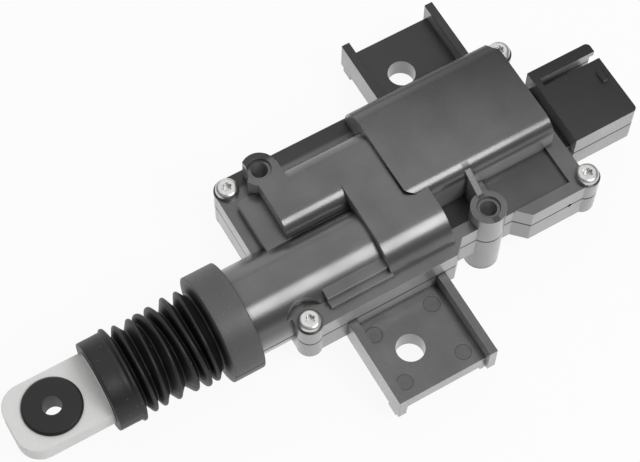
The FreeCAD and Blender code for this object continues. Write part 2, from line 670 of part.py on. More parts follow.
def connector_slot(body):
    """Key slot and its notch through the connector's top wall, open at the mating end."""
    slot_far = S["plug_slot_in"] + S["plug_slot"]
    start = PLUG_START + S["plug_wall"]
    slot = new_sketch(body, "XY_Plane", S["plug_top"] + 1)
    box_outline(slot, start, PLUG_END + 1, S["plug_slot_in"], slot_far)
    pocket(body, slot, S["plug_wall"] + 1.5, False)
    nub = new_sketch(body, "XZ_Plane", -S["plug_nub_far"])
    tip = PLUG_END - 1.2
    back = tip - S["plug_nub_length"]
    outline(nub, [
        (back, S["plug_top"] - 0.5),
        (tip, S["plug_top"] - 0.5),
        (tip, S["plug_top"]),
        (back + 0.6, S["plug_top"] + S["plug_nub_rise"]),
        (back, S["plug_top"] + S["plug_nub_rise"]),
    ])
    return pad(body, nub, S["plug_nub_width"])


def boss(body, centre, height, up):
    """A round boss on the flange; its bore is cut after everything else."""
    return pad(body, circle(new_sketch(body, "XY_Plane"), centre, S["boss_radius"]), height, up)


def bores(body, centres, start, radius, depth):
    """Round holes cut downward from the given height."""
    return pocket(body, circles(new_sketch(body, "XY_Plane", start), centres, radius), depth, False)


def make_cover():
    """Upper half of the housing, which carries everything that the top view shows."""
    body = new_body("upper_housing")
    flange(body, True)
    bulges(body, True)
    pad(body, ledge_sketch(body, S["ledge_out"]), S["cover_flange"] + S["ledge_step"])
    pad(body, ledge_sketch(body, S["ledge_in"]), S["cover_flange"] + S["ledge_step"] * 2)
    low_pad = new_sketch(body, "XY_Plane")
    box_outline(low_pad, -S["pad_left"], 1 - S["clutch_bulge_start"], S["tube_radius"] / 2, S["pad_far"])
    made = pad(body, low_pad, S["pad_top"])

    def pad_corner(a, b):
        upright = near(a.x, b.x) and near(a.y, b.y)
        return upright and near(a.x, -S["pad_left"]) and near(a.y, S["pad_far"])

    rounded(body, made, pad_corner, 1.0)
    boss(body, FAR_BOSS, S["low_top"], True)
    web = new_sketch(body, "XY_Plane")
    web_left = -S["clutch_bulge_start"]
    web_near = S["clutch_bulge_far"] - S["clutch_round_far"] - 1
    box_outline(web, web_left, -S["boss_web"], web_near, S["far_boss_y"])
    pad(body, web, S["low_top"])
    deep = new_sketch(body, "XY_Plane", S["cover_flange"])
    deep_right = S["near_boss_x"] - S["rib"] / 2
    box_outline(deep, WHEEL_END, deep_right, -S["near_boss_y"] + 1, MOTOR_NEAR)
    pocket(body, deep, S["pocket_depth"], False)
    boss(body, NEAR_BOSS, S["near_boss_top"], True)
    rib = new_sketch(body, "YZ_Plane", S["near_boss_x"] - S["rib"] / 2)
    outline(rib, [
        (-S["near_boss_y"], S["cover_flange"] - 1),
        (MOTOR_NEAR + 4, S["cover_flange"] - 1),
        (MOTOR_NEAR + 4, S["high_top"] - 0.6),
        (MOTOR_NEAR + 2.4, S["high_top"] - 0.9),
        (S["boss_radius"] - S["near_boss_y"] - 0.6, S["near_boss_top"]),
        (-S["near_boss_y"], S["near_boss_top"]),
    ])
    pad(body, rib, S["rib"])
    connector_half(body, True)
    tabs = [(FLANGE_RIGHT, S["tab_first"]), (FLANGE_RIGHT, S["tab_first"] - S["tab_pitch"])]
    pad(body, circles(new_sketch(body, "XY_Plane"), tabs, S["tab_radius"]), S["tab_rise"])
    # the motor bulge slopes down slantwise to the lower bulges
    ramp = new_sketch(body, "XY_Plane", S["low_top"])
    start = S["motor_bulge_start"] - S["ramp_run"] / 2
    outline(ramp, [
        (start - 2, MOTOR_FAR - S["motor_round_far"] + 1),
        (start, MOTOR_FAR - S["motor_round_far"] + 1),
        (start + S["motor_bulge_slant"] * 0.3, MOTOR_Y),
        (start + S["motor_bulge_slant"], MOTOR_NEAR - 1),
        (start - 2, MOTOR_NEAR - 1),
    ])
    cut = pocket(body, ramp, S["high_top"] - S["low_top"] + 0.1)
    cut.setExpression("TaperAngle", "-atan(%s)" % (
        S["ramp_run"] / (S["high_top"] - S["low_top"])).formula)
    recess = new_sketch(body, "XY_Plane", S["cover_flange"])
    recess_right = FLANGE_RIGHT - S["recess_right"]
    box_outline(recess, S["near_boss_x"] + 3.6, recess_right, -S["recess_near"], MOTOR_NEAR)
    pocket(body, recess, S["recess_depth"], False)
    above = S["high_top"] + 1
    left_screws, right_screws = SCREW_PLACES[:2], SCREW_PLACES[2:]
    bores(body, left_screws, above, S["screw_relief"], above - S["cover_flange"])
    bores(body, right_screws, above, S["screw_lug"] + 0.4, above - S["cover_flange"])
    hollows(body, True)
    connector_slot(body)
    bores(body, SCREW_PLACES, above, S["screw_thread"] + 0.3, above + 1)
    bores(body, [NEAR_BOSS, FAR_BOSS], above, S["boss_bore"], above + 1)
    bores(body, [NEAR_BOSS], S["near_boss_top"] + 1, S["boss_lip"], S["boss_lip_depth"] + 1)
    bores(body, [FAR_BOSS], S["low_top"] + 1, S["boss_lip"], S["boss_lip_depth"] + 1)
    return finished(body)


def ledge_sketch(body, reach):
    """Footprint of one of the two steps between the guide tube and the near flange."""
    sketch = new_sketch(body, "XY_Plane")
    left = 0.4 - S["clutch_bulge_start"]
    return box_outline(sketch, left, S["wheel_bulge_start"] + 0.5, -reach, -S["tube_radius"] / 2)


def make_ear(body, hole_x, hole_y, outward):
    """Mounting ear: a plate between two upright walls, with a seat boss under its hole."""
    left = hole_x - S["ear_hole_inset"]
    right = left + S["ear_width"]
    free = hole_y + S["ear_reach"] * outward
    edge = -S["flange_near"] if outward < 0 else S["flange_far"]
    root = edge - 2 * outward
    low_y, high_y = (free, root) if outward < 0 else (root, free)
    plate = new_sketch(body, "XY_Plane", -S["ear_floor_drop"])
    box_outline(plate, left, right, low_y, high_y)
    pad(body, plate, S["ear_floor"], False)
    past = S["ear_wall_past"]
    wall_low = low_y - past if outward < 0 else low_y
    wall_high = high_y if outward < 0 else high_y + past
    for start in (left, right - S["ear_wall"]):
        wall = new_sketch(body, "XY_Plane")
        box_outline(wall, start, start + S["ear_wall"], wall_low, wall_high)
        pad(body, wall, S["ear_floor_drop"] + S["ear_floor"], False)
    underside = -S["ear_floor_drop"] - S["ear_floor"]
    seat = new_sketch(body, "XY_Plane", underside)
    circle(seat, (hole_x, hole_y), S["ear_seat_boss"] / 2)
    pad(body, seat, S["ear_seat_rise"], False)
    foot_y = free if outward < 0 else free - S["ear_foot"]
    for start in (left, right - S["ear_foot"]):
        foot = new_sketch(body, "XY_Plane", underside)
        box_outline(foot, start, start + S["ear_foot"], foot_y, foot_y + S["ear_foot"])
        pad(body, foot, S["ear_seat_rise"], False)
    hole = new_sketch(body, "XY_Plane", ZERO)
    circle(hole, (hole_x, hole_y), S["ear_hole_bore"] / 2)
    pocket(body, hole, SEAT_DROP + 1, False)


def make_base():
    """Lower half of the housing with the two mounting ears."""
    body = new_body("lower_housing")
    flange(body, False)
    bulges(body, False)
    boss(body, NEAR_BOSS, S["near_boss_bottom"], False)
    boss(body, FAR_BOSS, S["low_top"], False)
    connector_half(body, False)
    make_ear(body, ZERO, -S["ear_hole_side"], -1)
    make_ear(body, S["ear_hole_dx"], S["ear_hole_dy"] - S["ear_hole_side"], 1)
    hollows(body, False)
    pilot_depth = S["screw_length"] - S["cover_flange"] + 1.5
    bores(body, SCREW_PLACES, sized(1), S["screw_pilot"], pilot_depth)
    bores(body, [NEAR_BOSS, FAR_BOSS], sized(1), S["boss_bore"], S["near_boss_bottom"] + 2)
    return finished(body)


# Teeth and threads


def pitch_radius(teeth):
    return S["module"] * S[teeth] / 2


def tip_radius(teeth):
    return pitch_radius(teeth) + S["module"] * 0.8


def gear_face(teeth_word, turn_on):
    """Involute outline of a spur gear as a face in the YZ plane; turn_on is in teeth."""
    teeth = int(S[teeth_word].number)
    module = S["module"].number
    pitch = pitch_radius(teeth_word).number
    tip = tip_radius(teeth_word).number
    root = pitch - 1.1 * module
    alpha = math.radians(S["pressure_angle"].number)
    base = pitch * math.cos(alpha)
    start = max(base, root)
    half = (math.pi * module / 2 - S["tooth_play"].number / 2) / (2 * pitch)
    at_pitch = math.tan(alpha) - alpha

    def flank(radius):
        lean = math.acos(min(1.0, base / radius))
        return half + at_pitch - (math.tan(lean) - lean)

    def spot(radius, angle):
        return FreeCAD.Vector(0, radius * math.cos(angle), radius * math.sin(angle))

    steps = 4
    radii = [start + (tip - start) * step / (steps - 1) for step in range(steps)]
    edges = []
    for tooth in range(teeth):
        middle = 2 * math.pi * (tooth + turn_on) / teeth
        rising = [spot(radius, middle - flank(radius)) for radius in radii]
        falling = [spot(radius, middle + flank(radius)) for radius in reversed(radii)]
        left_root = spot(root, middle - flank(start))
        right_root = spot(root, middle + flank(start))
        following = spot(root, middle + 2 * math.pi / teeth - flank(start))
        if start > root:
            edges.append(Part.LineSegment(left_root, rising[0]).toShape())
        edges += [Part.LineSegment(a, b).toShape() for a, b in zip(rising, rising[1:])]
        edges.append(Part.Arc(rising[-1], spot(tip, middle), falling[0]).toShape())
        edges += [Part.LineSegment(a, b).toShape() for a, b in zip(falling, falling[1:])]
        if start > root:
            edges.append(Part.LineSegment(falling[-1], right_root).toShape())
        edges.append(Part.LineSegment(right_root, following).toShape())
    return Part.Face(Part.Wire(edges))


def thread_wire(outer, root, widen, at_x):
    """Cross-section of the many-start thread: a round root with one flat lobe per start."""
    starts = int(S["thread_starts"].number)
    edges = []
    half_root = math.pi / starts * 0.5 + widen / root
    half_tip = math.pi / starts * 0.22 + widen / outer

    def spot(radius, angle):
        return FreeCAD.Vector(at_x, radius * math.cos(angle), radius * math.sin(angle))

    for start in range(starts):
        middle = 2 * math.pi * start / starts
        following = middle + 2 * math.pi / starts
        a = spot(root, middle - half_root)
        b = spot(outer, middle - half_tip)
        c = spot(outer, middle + half_tip)
        d = spot(root, middle + half_root)
        e = spot(root, following - half_root)
        gap_middle = spot(root, (middle + following) / 2)
        edges.append(Part.LineSegment(a, b).toShape())
        edges.append(Part.Arc(b, spot(outer, middle), c).toShape())
        edges.append(Part.LineSegment(c, d).toShape())
        edges.append(Part.Arc(d, gap_middle, e).toShape())
    return Part.Wire(edges)


def twisted(start, length, widen, outer, root):
    """The thread's cross-section carried along X and turned once per lead."""
    spine = Part.Wire(Part.LineSegment(
        FreeCAD.Vector(start, 0, 0), FreeCAD.Vector(start + length, 0, 0)).toShape())
    helix = Part.makeHelix(S["lead_length"].number, length, outer)
    helix.rotate(FreeCAD.Vector(0, 0, 0), FreeCAD.Vector(0, 1, 0), 90)
    helix.translate(FreeCAD.Vector(start, 0, 0))
    sweep = Part.BRepOffsetAPI.MakePipeShell(spine)
    sweep.setAuxiliarySpine(Part.Wire(helix.Edges), False, 0)
    section = thread_wire(outer, root, widen, start)
    # sections of the nut and of the screw line up because both are turned by their place
    section.rotate(
        FreeCAD.Vector(start, 0, 0),
        FreeCAD.Vector(1, 0, 0),
        thread_turn(start),
    )
    sweep.add(section)
    sweep.build()
    sweep.makeSolid()
    return sweep.shape()


def thread_turn(x):
    """Turn of the thread, in degrees, at the place x along the screw."""
    return 360.0 * x / S["lead_length"].number


def shaped(name, shape, dy=ZERO):
    """A piece whose form neither a sketch feature nor a primitive gives."""
    piece = doc.addObject("Part::Feature", name)
    piece.Label = name
    piece.Shape = shape
    return put(piece, dy=dy)


def rod(start, length, radius):
    return Part.makeCylinder(
        sized(radius).number, sized(length).number,
        FreeCAD.Vector(sized(start).number, 0, 0), FreeCAD.Vector(1, 0, 0))


def flatted(sketch, radius, flat):
    """A circle about the sketch's origin with two flats, above and below."""
    radius, flat = sized(radius), sized(flat)
    lean = math.asin(flat.number / radius.number)
    round_line = Part.Circle(FreeCAD.Vector(0, 0, 0), FreeCAD.Vector(0, 0, 1), radius.number)
    across = radius.number * math.cos(lean)
    right = sketch.addGeometry(Part.ArcOfCircle(round_line, -lean, lean), False)
    left = sketch.addGeometry(Part.ArcOfCircle(round_line, math.pi - lean, math.pi + lean), False)
    top = sketch.addGeometry(Part.LineSegment(
        FreeCAD.Vector(across, flat.number, 0), FreeCAD.Vector(-across, flat.number, 0)), False)
    bottom = sketch.addGeometry(Part.LineSegment(
        FreeCAD.Vector(-across, -flat.number, 0), FreeCAD.Vector(across, -flat.number, 0)), False)
    for pair in ((right, 2, top, 1), (top, 2, left, 1), (left, 2, bottom, 1), (bottom, 2, right, 1)):
        sketch.addConstraint(Sketcher.Constraint("Coincident", *pair))
    for arc in (right, left):
        hold(sketch, "DistanceX", 0, arc, 3)
        hold(sketch, "DistanceY", 0, arc, 3)
        hold(sketch, "Radius", radius, arc)
    for line, level in ((top, flat), (bottom, -flat)):
        hold(sketch, "DistanceY", level, line, 1)
        hold(sketch, "DistanceY", level, line, 2)
    return sketch


def round_pad(body, start, length, radius):
    """A disc or rod about the X axis, added to the body."""
    return pad(body, circle(new_sketch(body, "YZ_Plane", start), (ZERO, ZERO), radius), length)


def round_cut(body, start, length, radius):
    return pocket(body, circle(new_sketch(body, "YZ_Plane", start), (ZERO, ZERO), radius), length)


# Plunger and what it carries


def make_plunger():
    """Nylon plunger: guide head, hollow shank, neck for the boot and a flat end for the rod."""
    body = new_body("plunger")
    tip = -S["plunger_tip"]
    neck = -S["boot_small_start"] - S["running_play"]
    neck_end = -S["boot_small_end"] - S["running_play"]
    bar = new_sketch(body, "XY_Plane", -S["bar_thick"] / 2)
    box_outline(bar, tip, neck_end, -S["bar_width"] / 2, S["bar_width"] / 2)
    made = pad(body, bar, S["bar_thick"])

    def tip_corner(a, b):
        return near(a.x, tip) and near(b.x, tip) and near(a.y, b.y)

    rounded(body, made, tip_corner, S["bar_round"])
    turn(body, [
        (neck_end, ZERO),
        (neck_end, S["neck_radius"]),
        (neck, S["neck_radius"]),
        (neck, S["shank_radius"]),
        (HEAD_END, S["shank_radius"]),
        (HEAD_END, HEAD_RADIUS),
        (PLUNGER_REAR, HEAD_RADIUS),
        (PLUNGER_REAR, ZERO),
    ])
    key = new_sketch(body, "XY_Plane", -S["key_width"] / 2)
    box_outline(key, HEAD_END, PLUNGER_REAR, -HEAD_RADIUS - S["key_rise"], -HEAD_RADIUS + 1)
    pad(body, key, S["key_width"])
    screw_room = S["thread_outer"] + S["gear_clear"]
    bore_end = -S["screw_tip"] - S["stroke_in"] - 1
    turn(body, [
        (bore_end - screw_room * 0.5, ZERO),
        (bore_end, screw_room),
        (PLUNGER_REAR - S["nut_length"], screw_room),
        (PLUNGER_REAR - S["nut_length"], S["nut_radius"]),
        (PLUNGER_REAR + 1, S["nut_radius"]),
        (PLUNGER_REAR + 1, ZERO),
    ], "PartDesign::Groove")
    eye = new_sketch(body, "XY_Plane", S["bar_thick"])
    circle(eye, (-S["grommet_x"], ZERO), S["grommet_neck"])
    pocket(body, eye, S["bar_thick"] * 2, False)
    return finished(body)


def make_grommet():
    """Rubber grommet for the lock rod: a neck in the bar's eye and a flange on each face."""
    body = new_body("rod_grommet", dx=-S["grommet_x"])
    sketch = new_sketch(body, "XZ_Plane")
    face = S["bar_thick"] / 2
    rim = face + S["grommet_rise"]
    half_rise = S["grommet_rise"] / 2
    outline(sketch, [
        (S["grommet_bore"], -rim),
        (S["grommet_radius"] - half_rise, -rim),
        (S["grommet_radius"], -face - half_rise),
        (S["grommet_radius"], -face),
        (S["grommet_neck"], -face),
        (S["grommet_neck"], face),
        (S["grommet_radius"], face),
        (S["grommet_radius"], face + half_rise),
        (S["grommet_radius"] - half_rise, rim),
        (S["grommet_bore"], rim),
    ])
    made = feature(body, "PartDesign::Revolution", sketch)
    made.ReferenceAxis = (sketch, ["V_Axis"])
    made.Angle = 360
    return body


def make_nut():
    """Drive nut: a ring whose bore is the thread's shape with play all round."""
    start = (PLUNGER_REAR - S["nut_length"]).number
    length = S["nut_length"].number
    play = S["thread_play"].number
    body = rod(start, length, S["nut_radius"])
    outer = S["thread_outer"].number + play
    thread = twisted(start - 1, length + 2, play, outer, S["thread_root"].number + play)
    return shaped("drive_nut", body.cut(thread))


def make_boot():
    """Rubber boot: large collar on the tube, seven ridges and a small collar on the plunger."""
    body = new_body("boot")
    wall = S["boot_wall"]
    bevel = S["boot_collar_round"]
    inner = -S["boot_collar_start"]
    outer = inner - S["boot_collar"]
    collar = S["tube_radius"] + S["boot_collar_radius"]
    count = int(S["boot_ridges"].number)
    pitch = (S["boot_small_start"] + outer) / count
    outside = [
        (inner, S["tube_radius"] + S["running_play"]),
        (inner, collar - bevel),
        (inner - bevel, collar),
        (outer + bevel / 2, collar),
        (outer, collar - bevel / 2),
        (outer, S["boot_root_radius"]),
    ]
    inside = []
    for ridge in range(count):
        start = outer - pitch * ridge
        outside += [
            (start - pitch * 0.42, S["boot_ridge_radius"]),
            (start - pitch * 0.58, S["boot_ridge_radius"]),
            (start - pitch, S["boot_root_radius"]),
        ]
        inside += [
            (start, S["boot_root_radius"] - wall),
            (start - pitch * 0.42, S["boot_ridge_radius"] - wall),
            (start - pitch * 0.58, S["boot_ridge_radius"] - wall),
        ]
    small = -S["boot_small_start"]
    small_end = -S["boot_small_end"]
    seat = S["neck_radius"] + S["running_play"]
    closing = [
        (small, S["boot_small_radius"] - 0.5),
        (small - 0.5, S["boot_small_radius"]),
        (small_end + 0.6, S["boot_small_radius"]),
        (small_end, S["boot_small_radius"] - 0.6),
        (small_end, seat),
        (small, seat),
    ]
    play = S["running_play"]
    stop = -S["tube_end"] - play
    on_tube = S["tube_radius"] + play
    bead_floor = on_tube - S["tube_groove"]
    bead_start = BEAD_END + S["boot_bead_length"]
    lining = [
        (stop, S["boot_root_radius"] - wall),
        (stop, on_tube),
        (BEAD_END + play, on_tube),
        (BEAD_END + play, bead_floor),
        (bead_start - play, bead_floor),
        (bead_start - play, on_tube),
    ]
    inside.reverse()
    turn(body, outside + closing + inside[:-1] + lining)
    return body


# Drive train


def make_jackscrew():
    """Fast-lead screw with a plain journal at its wheel end."""
    start = -S["screw_tip"].number
    end = S["bush_start"].number - 0.5
    thread = twisted(start, end - start, 0.0, S["thread_outer"].number, S["thread_root"].number)
    journal_end = CHAMBER_END.number - S["end_play"].number
    journal = rod(end - 0.5, journal_end - end + 0.5, S["journal_radius"])
    return shaped("jackscrew", thread.fuse(journal).removeSplitter())


def make_wheel():
    """Screw wheel: toothed rim with a hub between the two thrust washers."""
    rim = gear_face("wheel_teeth", 0.0)
    rim.translate(FreeCAD.Vector(S["gear_start"].number, 0, 0))
    teeth = rim.extrude(FreeCAD.Vector(S["gear_face"].number, 0, 0))
    hub = rod(HUB_START, HUB_END - HUB_START, S["hub_radius"])
    hole = rod(HUB_START - 1, HUB_END - HUB_START + 2, S["journal_radius"])
    dish_depth = S["gear_face"] * 0.25
    wheel = teeth.fuse(hub)
    for start in (S["gear_start"] - 1, S["gear_start"] + S["gear_face"] - dish_depth):
        outer = rod(start, dish_depth + 1, pitch_radius("wheel_teeth") - 2.2)
        wheel = wheel.cut(outer.cut(rod(start, dish_depth + 1, S["hub_radius"])))
    return shaped("screw_gear", wheel.cut(hole).removeSplitter())


def make_pinion():
    """Motor pinion on a sleeve that runs free on the motor shaft."""
    face = gear_face("pinion_teeth", 0.5)
    face.translate(FreeCAD.Vector(PINION_START.number, 0, 0))
    teeth = face.extrude(FreeCAD.Vector((PINION_END - PINION_START).number, 0, 0))
    sleeve = rod(DRUM_END, PINION_END + 1 - DRUM_END, S["sleeve_radius"])
    hole = rod(DRUM_END - 1, PINION_END - DRUM_END + 4, S["shaft_radius"] + S["running_play"])
    return shaped("motor_pinion", teeth.fuse(sleeve).cut(hole).removeSplitter(), MOTOR_Y)


def make_shoes():
    """Two clutch shoes, half rings that swing out against the drum."""
    start = DRUM_START + 0.8
    length = S["drum_length"] - S["drum_wall"] - 1.4
    whole = rod(start, length, SHOE_OUTER)
    whole = whole.cut(rod(start, length, SHOE_OUTER - S["shoe_thick"]))
    gap = Part.makeBox(40, 1.6, 20, FreeCAD.Vector(-20, -0.8, -10))
    return shaped("clutch_shoes", whole.cut(gap), MOTOR_Y)


def make_clutch_hub():
    """Hub pressed on the motor shaft, with a driving blade between the two shoes."""
    start = DRUM_START + 0.4
    length = S["drum_length"] - S["drum_wall"] - 0.8
    shoe_inner = SHOE_OUTER - S["shoe_thick"]
    hub = rod(start, length, shoe_inner - 0.15)
    blade_half = (shoe_inner + S["shoe_thick"] * 0.7).number
    blade = Part.makeBox(length.number, 1.2, blade_half * 2,
                         FreeCAD.Vector(start.number, -0.6, -blade_half))
    hole = rod(start - 1, length + 2, S["shaft_radius"])
    return shaped("clutch_hub", hub.fuse(blade).cut(hole).removeSplitter(), MOTOR_Y)


# Motor


def make_can():
    """Drawn steel can with two flats, open at the brush end, with a nose for the bush."""
    body = new_body("motor_can", dy=MOTOR_Y)
    nose = S["can_nose_length"]
    shell = flatted(new_sketch(body, "YZ_Plane", S["can_start"]), S["can_radius"], S["can_flat"])
    pad(body, shell, S["can_length"])
    round_pad(body, S["can_start"] - nose, nose + 0.5, S["can_nose"])
    wall = S["can_wall"]
    room = new_sketch(body, "YZ_Plane", S["can_start"] + wall)
    pocket(body, flatted(room, S["can_radius"] - wall, S["can_flat"] - wall), S["can_length"])
    round_cut(body, S["can_start"] - nose - 1, nose + 4, MOTOR_BUSH_OUTER)
    return finished(body)


def make_end_cap():
    """Moulded cap that closes the can and holds the rear bush and the brushes."""
    body = new_body("motor_end_cap", dy=MOTOR_Y)
    plate = new_sketch(body, "YZ_Plane", CAN_END)
    pad(body, flatted(plate, S["can_radius"], S["can_flat"]), S["cap_length"])
    round_pad(body, CAN_END + 0.5, S["cap_length"] + 0.9, S["can_nose"])
    for side in (-1, 1):
        block = new_sketch(body, "YZ_Plane", CAN_END - S["commutator_length"])
        low = S["commutator_radius"] + 2.4
        high = S["can_flat"] - S["can_wall"] - 1
        if side < 0:
            low, high = -high, -low
        box_outline(block, sized(-2), sized(2), low, high)
        pad(body, block, S["commutator_length"] + 0.5)
    round_cut(body, CAN_END - 1, S["cap_length"] + 3, MOTOR_BUSH_OUTER)
    return finished(body)


def make_magnets():
    """Two curved magnets on the inside of the can."""
    outer = S["can_radius"] - S["can_wall"]
    start = S["can_start"] + S["can_wall"] + 1.2
    section = Part.makeCylinder(outer.number, S["magnet_length"].number,
                                FreeCAD.Vector(start.number, 0, 0), FreeCAD.Vector(1, 0, 0))
    section = section.cut(rod(start, S["magnet_length"], outer - S["magnet_thick"]))
    half = math.radians(90 - S["magnet_gap"].number / 2)
    reach = outer.number * 2
    fans = []
    for side in (1, -1):
        corners = [
            FreeCAD.Vector(start.number, 0, 0),
            FreeCAD.Vector(start.number, side * reach * math.cos(half), reach * math.sin(half)),
            FreeCAD.Vector(start.number, side * reach, 0),
            FreeCAD.Vector(start.number, side * reach * math.cos(half), -reach * math.sin(half)),
            FreeCAD.Vector(start.number, 0, 0),
        ]
        fan = Part.Face(Part.makePolygon(corners)).extrude(
            FreeCAD.Vector(S["magnet_length"].number, 0, 0))
        fans.append(section.common(fan))
    return shaped("field_magnets", Part.makeCompound(fans), MOTOR_Y)


COMMUTATOR_START = CAN_END - S["commutator_length"] - 0.2
CORE_LENGTH = S["can_length"] - S["core_length"]
CORE_START = COMMUTATOR_START - S["coil_clear"] - S["coil_overhang"] - CORE_LENGTH


def core_shape():
    """Laminated stack with slots for the coils."""
    stack = rod(CORE_START, CORE_LENGTH, S["core_radius"])
    slots = int(S["core_slots"].number)
    for slot in range(slots):
        reach = S["core_radius"].number
        box = Part.makeBox(CORE_LENGTH.number + 2, reach, 1.6,
                           FreeCAD.Vector(CORE_START.number - 1, reach * 0.72, -0.8))
        well = Part.makeCylinder(1.9, CORE_LENGTH.number + 2,
                                 FreeCAD.Vector(CORE_START.number - 1, reach * 0.62, 0),
                                 FreeCAD.Vector(1, 0, 0))
        cutter = box.fuse(well)
        cutter.rotate(FreeCAD.Vector(0, 0, 0), FreeCAD.Vector(1, 0, 0), 360.0 * slot / slots)
        stack = stack.cut(cutter)
    return stack.cut(rod(CORE_START - 1, CORE_LENGTH + 2, S["shaft_radius"]))


def make_windings(core):
    """Coils: they fill the slots and stand out at both ends of the stack."""
    start = CORE_START - S["coil_overhang"]
    length = CORE_LENGTH + S["coil_overhang"] * 2
    drum = rod(start, length, S["core_radius"] - 0.7)
    drum = drum.cut(core).cut(rod(start - 1, length + 2, S["shaft_radius"] + 0.4))
    inside = [solid for solid in drum.Solids if solid.Volume > 1]
    shape = inside[0] if len(inside) == 1 else Part.makeCompound(inside)
    return shaped("armature_windings", shape, MOTOR_Y)


def make_brushes():
    """Two carbon brushes that bear on the commutator from above and below."""
    side = S["brush_size"].number
    start = COMMUTATOR_START.number + 1.0
    low = S["commutator_radius"].number + S["running_play"].number
    blocks = []
    for sign in (1, -1):
        height = 2.35 - S["running_play"].number
        foot = low if sign > 0 else -low - height
        blocks.append(Part.makeBox(side, side, height, FreeCAD.Vector(start, -side / 2, foot)))
    return shaped("motor_brushes", Part.makeCompound(blocks), MOTOR_Y)


def make_blades():
    """Two contact blades, set in the parting face, from the motor room to the connector."""
    start = (ROOM_END + S["running_play"]).number
    end = (PLUG_START + S["plug_back"] + S["blade_reach"]).number
    thick = S["blade_thick"].number
    half = S["blade_width"].number / 2
    blades = []
    for middle in BLADE_PLACES:
        across = middle.number
        corners = [
            (start, across - half),
            (end - 1.6, across - half),
            (end, across - half + 1.3),
            (end, across + half - 1.3),
            (end - 1.6, across + half),
            (start, across + half),
        ]
        points = [FreeCAD.Vector(x, y, -thick / 2) for x, y in corners]
        face = Part.Face(Part.makePolygon(points + points[:1]))
        blades.append(face.extrude(FreeCAD.Vector(0, 0, thick)))
    return shaped("contact_blades", Part.makeCompound(blades))


def make_screws():
    """Four pan-head housing screws with a six-lobe socket."""
    head = S["screw_head"].number
    rise = S["screw_head_rise"].number
    thread = S["screw_thread"].number
    length = S["screw_length"].number
    flat = head * 0.55
    shoulder = FreeCAD.Vector(head, 0, rise * 0.45)
    crown = FreeCAD.Vector(flat, 0, rise)
    bend = FreeCAD.Vector(head * 0.9, 0, rise * 0.82)
    edges = [
        Part.LineSegment(FreeCAD.Vector(0, 0, -length), FreeCAD.Vector(thread, 0, -length)),
        Part.LineSegment(FreeCAD.Vector(thread, 0, -length), FreeCAD.Vector(thread, 0, 0)),
        Part.LineSegment(FreeCAD.Vector(thread, 0, 0), FreeCAD.Vector(head, 0, 0)),
        Part.LineSegment(FreeCAD.Vector(head, 0, 0), shoulder),
        Part.Arc(shoulder, bend, crown),
        Part.LineSegment(crown, FreeCAD.Vector(0, 0, rise)),
        Part.LineSegment(FreeCAD.Vector(0, 0, rise), FreeCAD.Vector(0, 0, -length)),
    ]
    profile = Part.Face(Part.Wire([edge.toShape() for edge in edges]))
    screw = profile.revolve(FreeCAD.Vector(0, 0, 0), FreeCAD.Vector(0, 0, 1), 360)
    lobe = S["screw_socket"].number
    floor = rise * 0.3
    socket = Part.makeCylinder(lobe * 0.78, rise, FreeCAD.Vector(0, 0, floor))
    for turn_step in range(6):
        angle = math.pi / 3 * turn_step
        place = FreeCAD.Vector(lobe * 0.75 * math.cos(angle), lobe * 0.75 * math.sin(angle), floor)
        socket = socket.fuse(Part.makeCylinder(lobe * 0.25, rise, place))
    screw = screw.cut(socket)
    screws = []
    for x, y in SCREW_PLACES:
        one = screw.copy()
        one.translate(FreeCAD.Vector(x.number, sized(y).number, S["cover_flange"].number))
        screws.append(one)
    return shaped("housing_screws", Part.makeCompound(screws))


def make_cutout():
    """Thermal cutout: a flat block behind the motor's end cap."""
    body = new_body("thermal_cutout", dy=MOTOR_Y)
    face = new_sketch(body, "YZ_Plane", ROOM_END - S["cutout_thick"])
    half = S["cutout_length"] / 2
    box_outline(face, -half, half, -half + 1, half - 1)
    pad(body, face, S["cutout_thick"])
    return body


make_cover()
make_base()
make_screws()
make_boot()
play = S["running_play"]
journal_room = S["journal_radius"] + play
bumper_outer = S["tube_bore"] - S["slide_play"]
rear_seat = S["bush_start"] - S["bumper_thick"]
turned("front_bumper", ring(LIP_START, S["bumper_thick"], S["shank_radius"] + 0.5, bumper_outer))
turned("rear_bumper", ring(rear_seat, S["bumper_thick"], S["thread_outer"] + 0.6, bumper_outer))
turned("front_bush", ring(S["bush_start"], S["bush_length"], journal_room, BUSH_OUTER))
turned("rear_bush", ring(REAR_BUSH_START, S["bush_length"], journal_room, BUSH_OUTER))
washer = S["washer_thick"]
turned("front_thrust_washer", ring(CHAMBER_START, washer, journal_room, S["hub_radius"]))
turned("rear_thrust_washer", ring(REAR_BUSH_START - washer, washer, journal_room, S["hub_radius"]))
make_plunger()
make_nut()
make_grommet()
make_jackscrew()
make_wheel()
make_pinion()
shaft_room = S["shaft_radius"] + play
drum_inner = S["drum_radius"] - S["drum_wall"]
turned("clutch_drum", [
    (DRUM_START, drum_inner),
    (DRUM_START, S["drum_radius"]),
    (DRUM_END, S["drum_radius"]),
    (DRUM_END, shaft_room),
    (DRUM_END - S["drum_wall"], shaft_room),
    (DRUM_END - S["drum_wall"], drum_inner),
], MOTOR_Y)
make_clutch_hub()
make_shoes()
SHAFT_START = SHAFT_BUSH_START + 0.3
SHAFT_END = CAN_END + S["cap_length"] + 1.0
turned("motor_shaft", ring(SHAFT_START, SHAFT_END - SHAFT_START, ZERO, S["shaft_radius"]), MOTOR_Y)
outboard = ring(SHAFT_BUSH_START, S["shaft_bush"], shaft_room, MOTOR_BUSH_OUTER)
turned("outboard_bush", outboard, MOTOR_Y)
nose = S["can_nose_length"]
front_ring = ring(S["can_start"] - nose, nose + S["can_wall"], shaft_room, MOTOR_BUSH_OUTER)
turned("motor_front_bush", front_ring, MOTOR_Y)
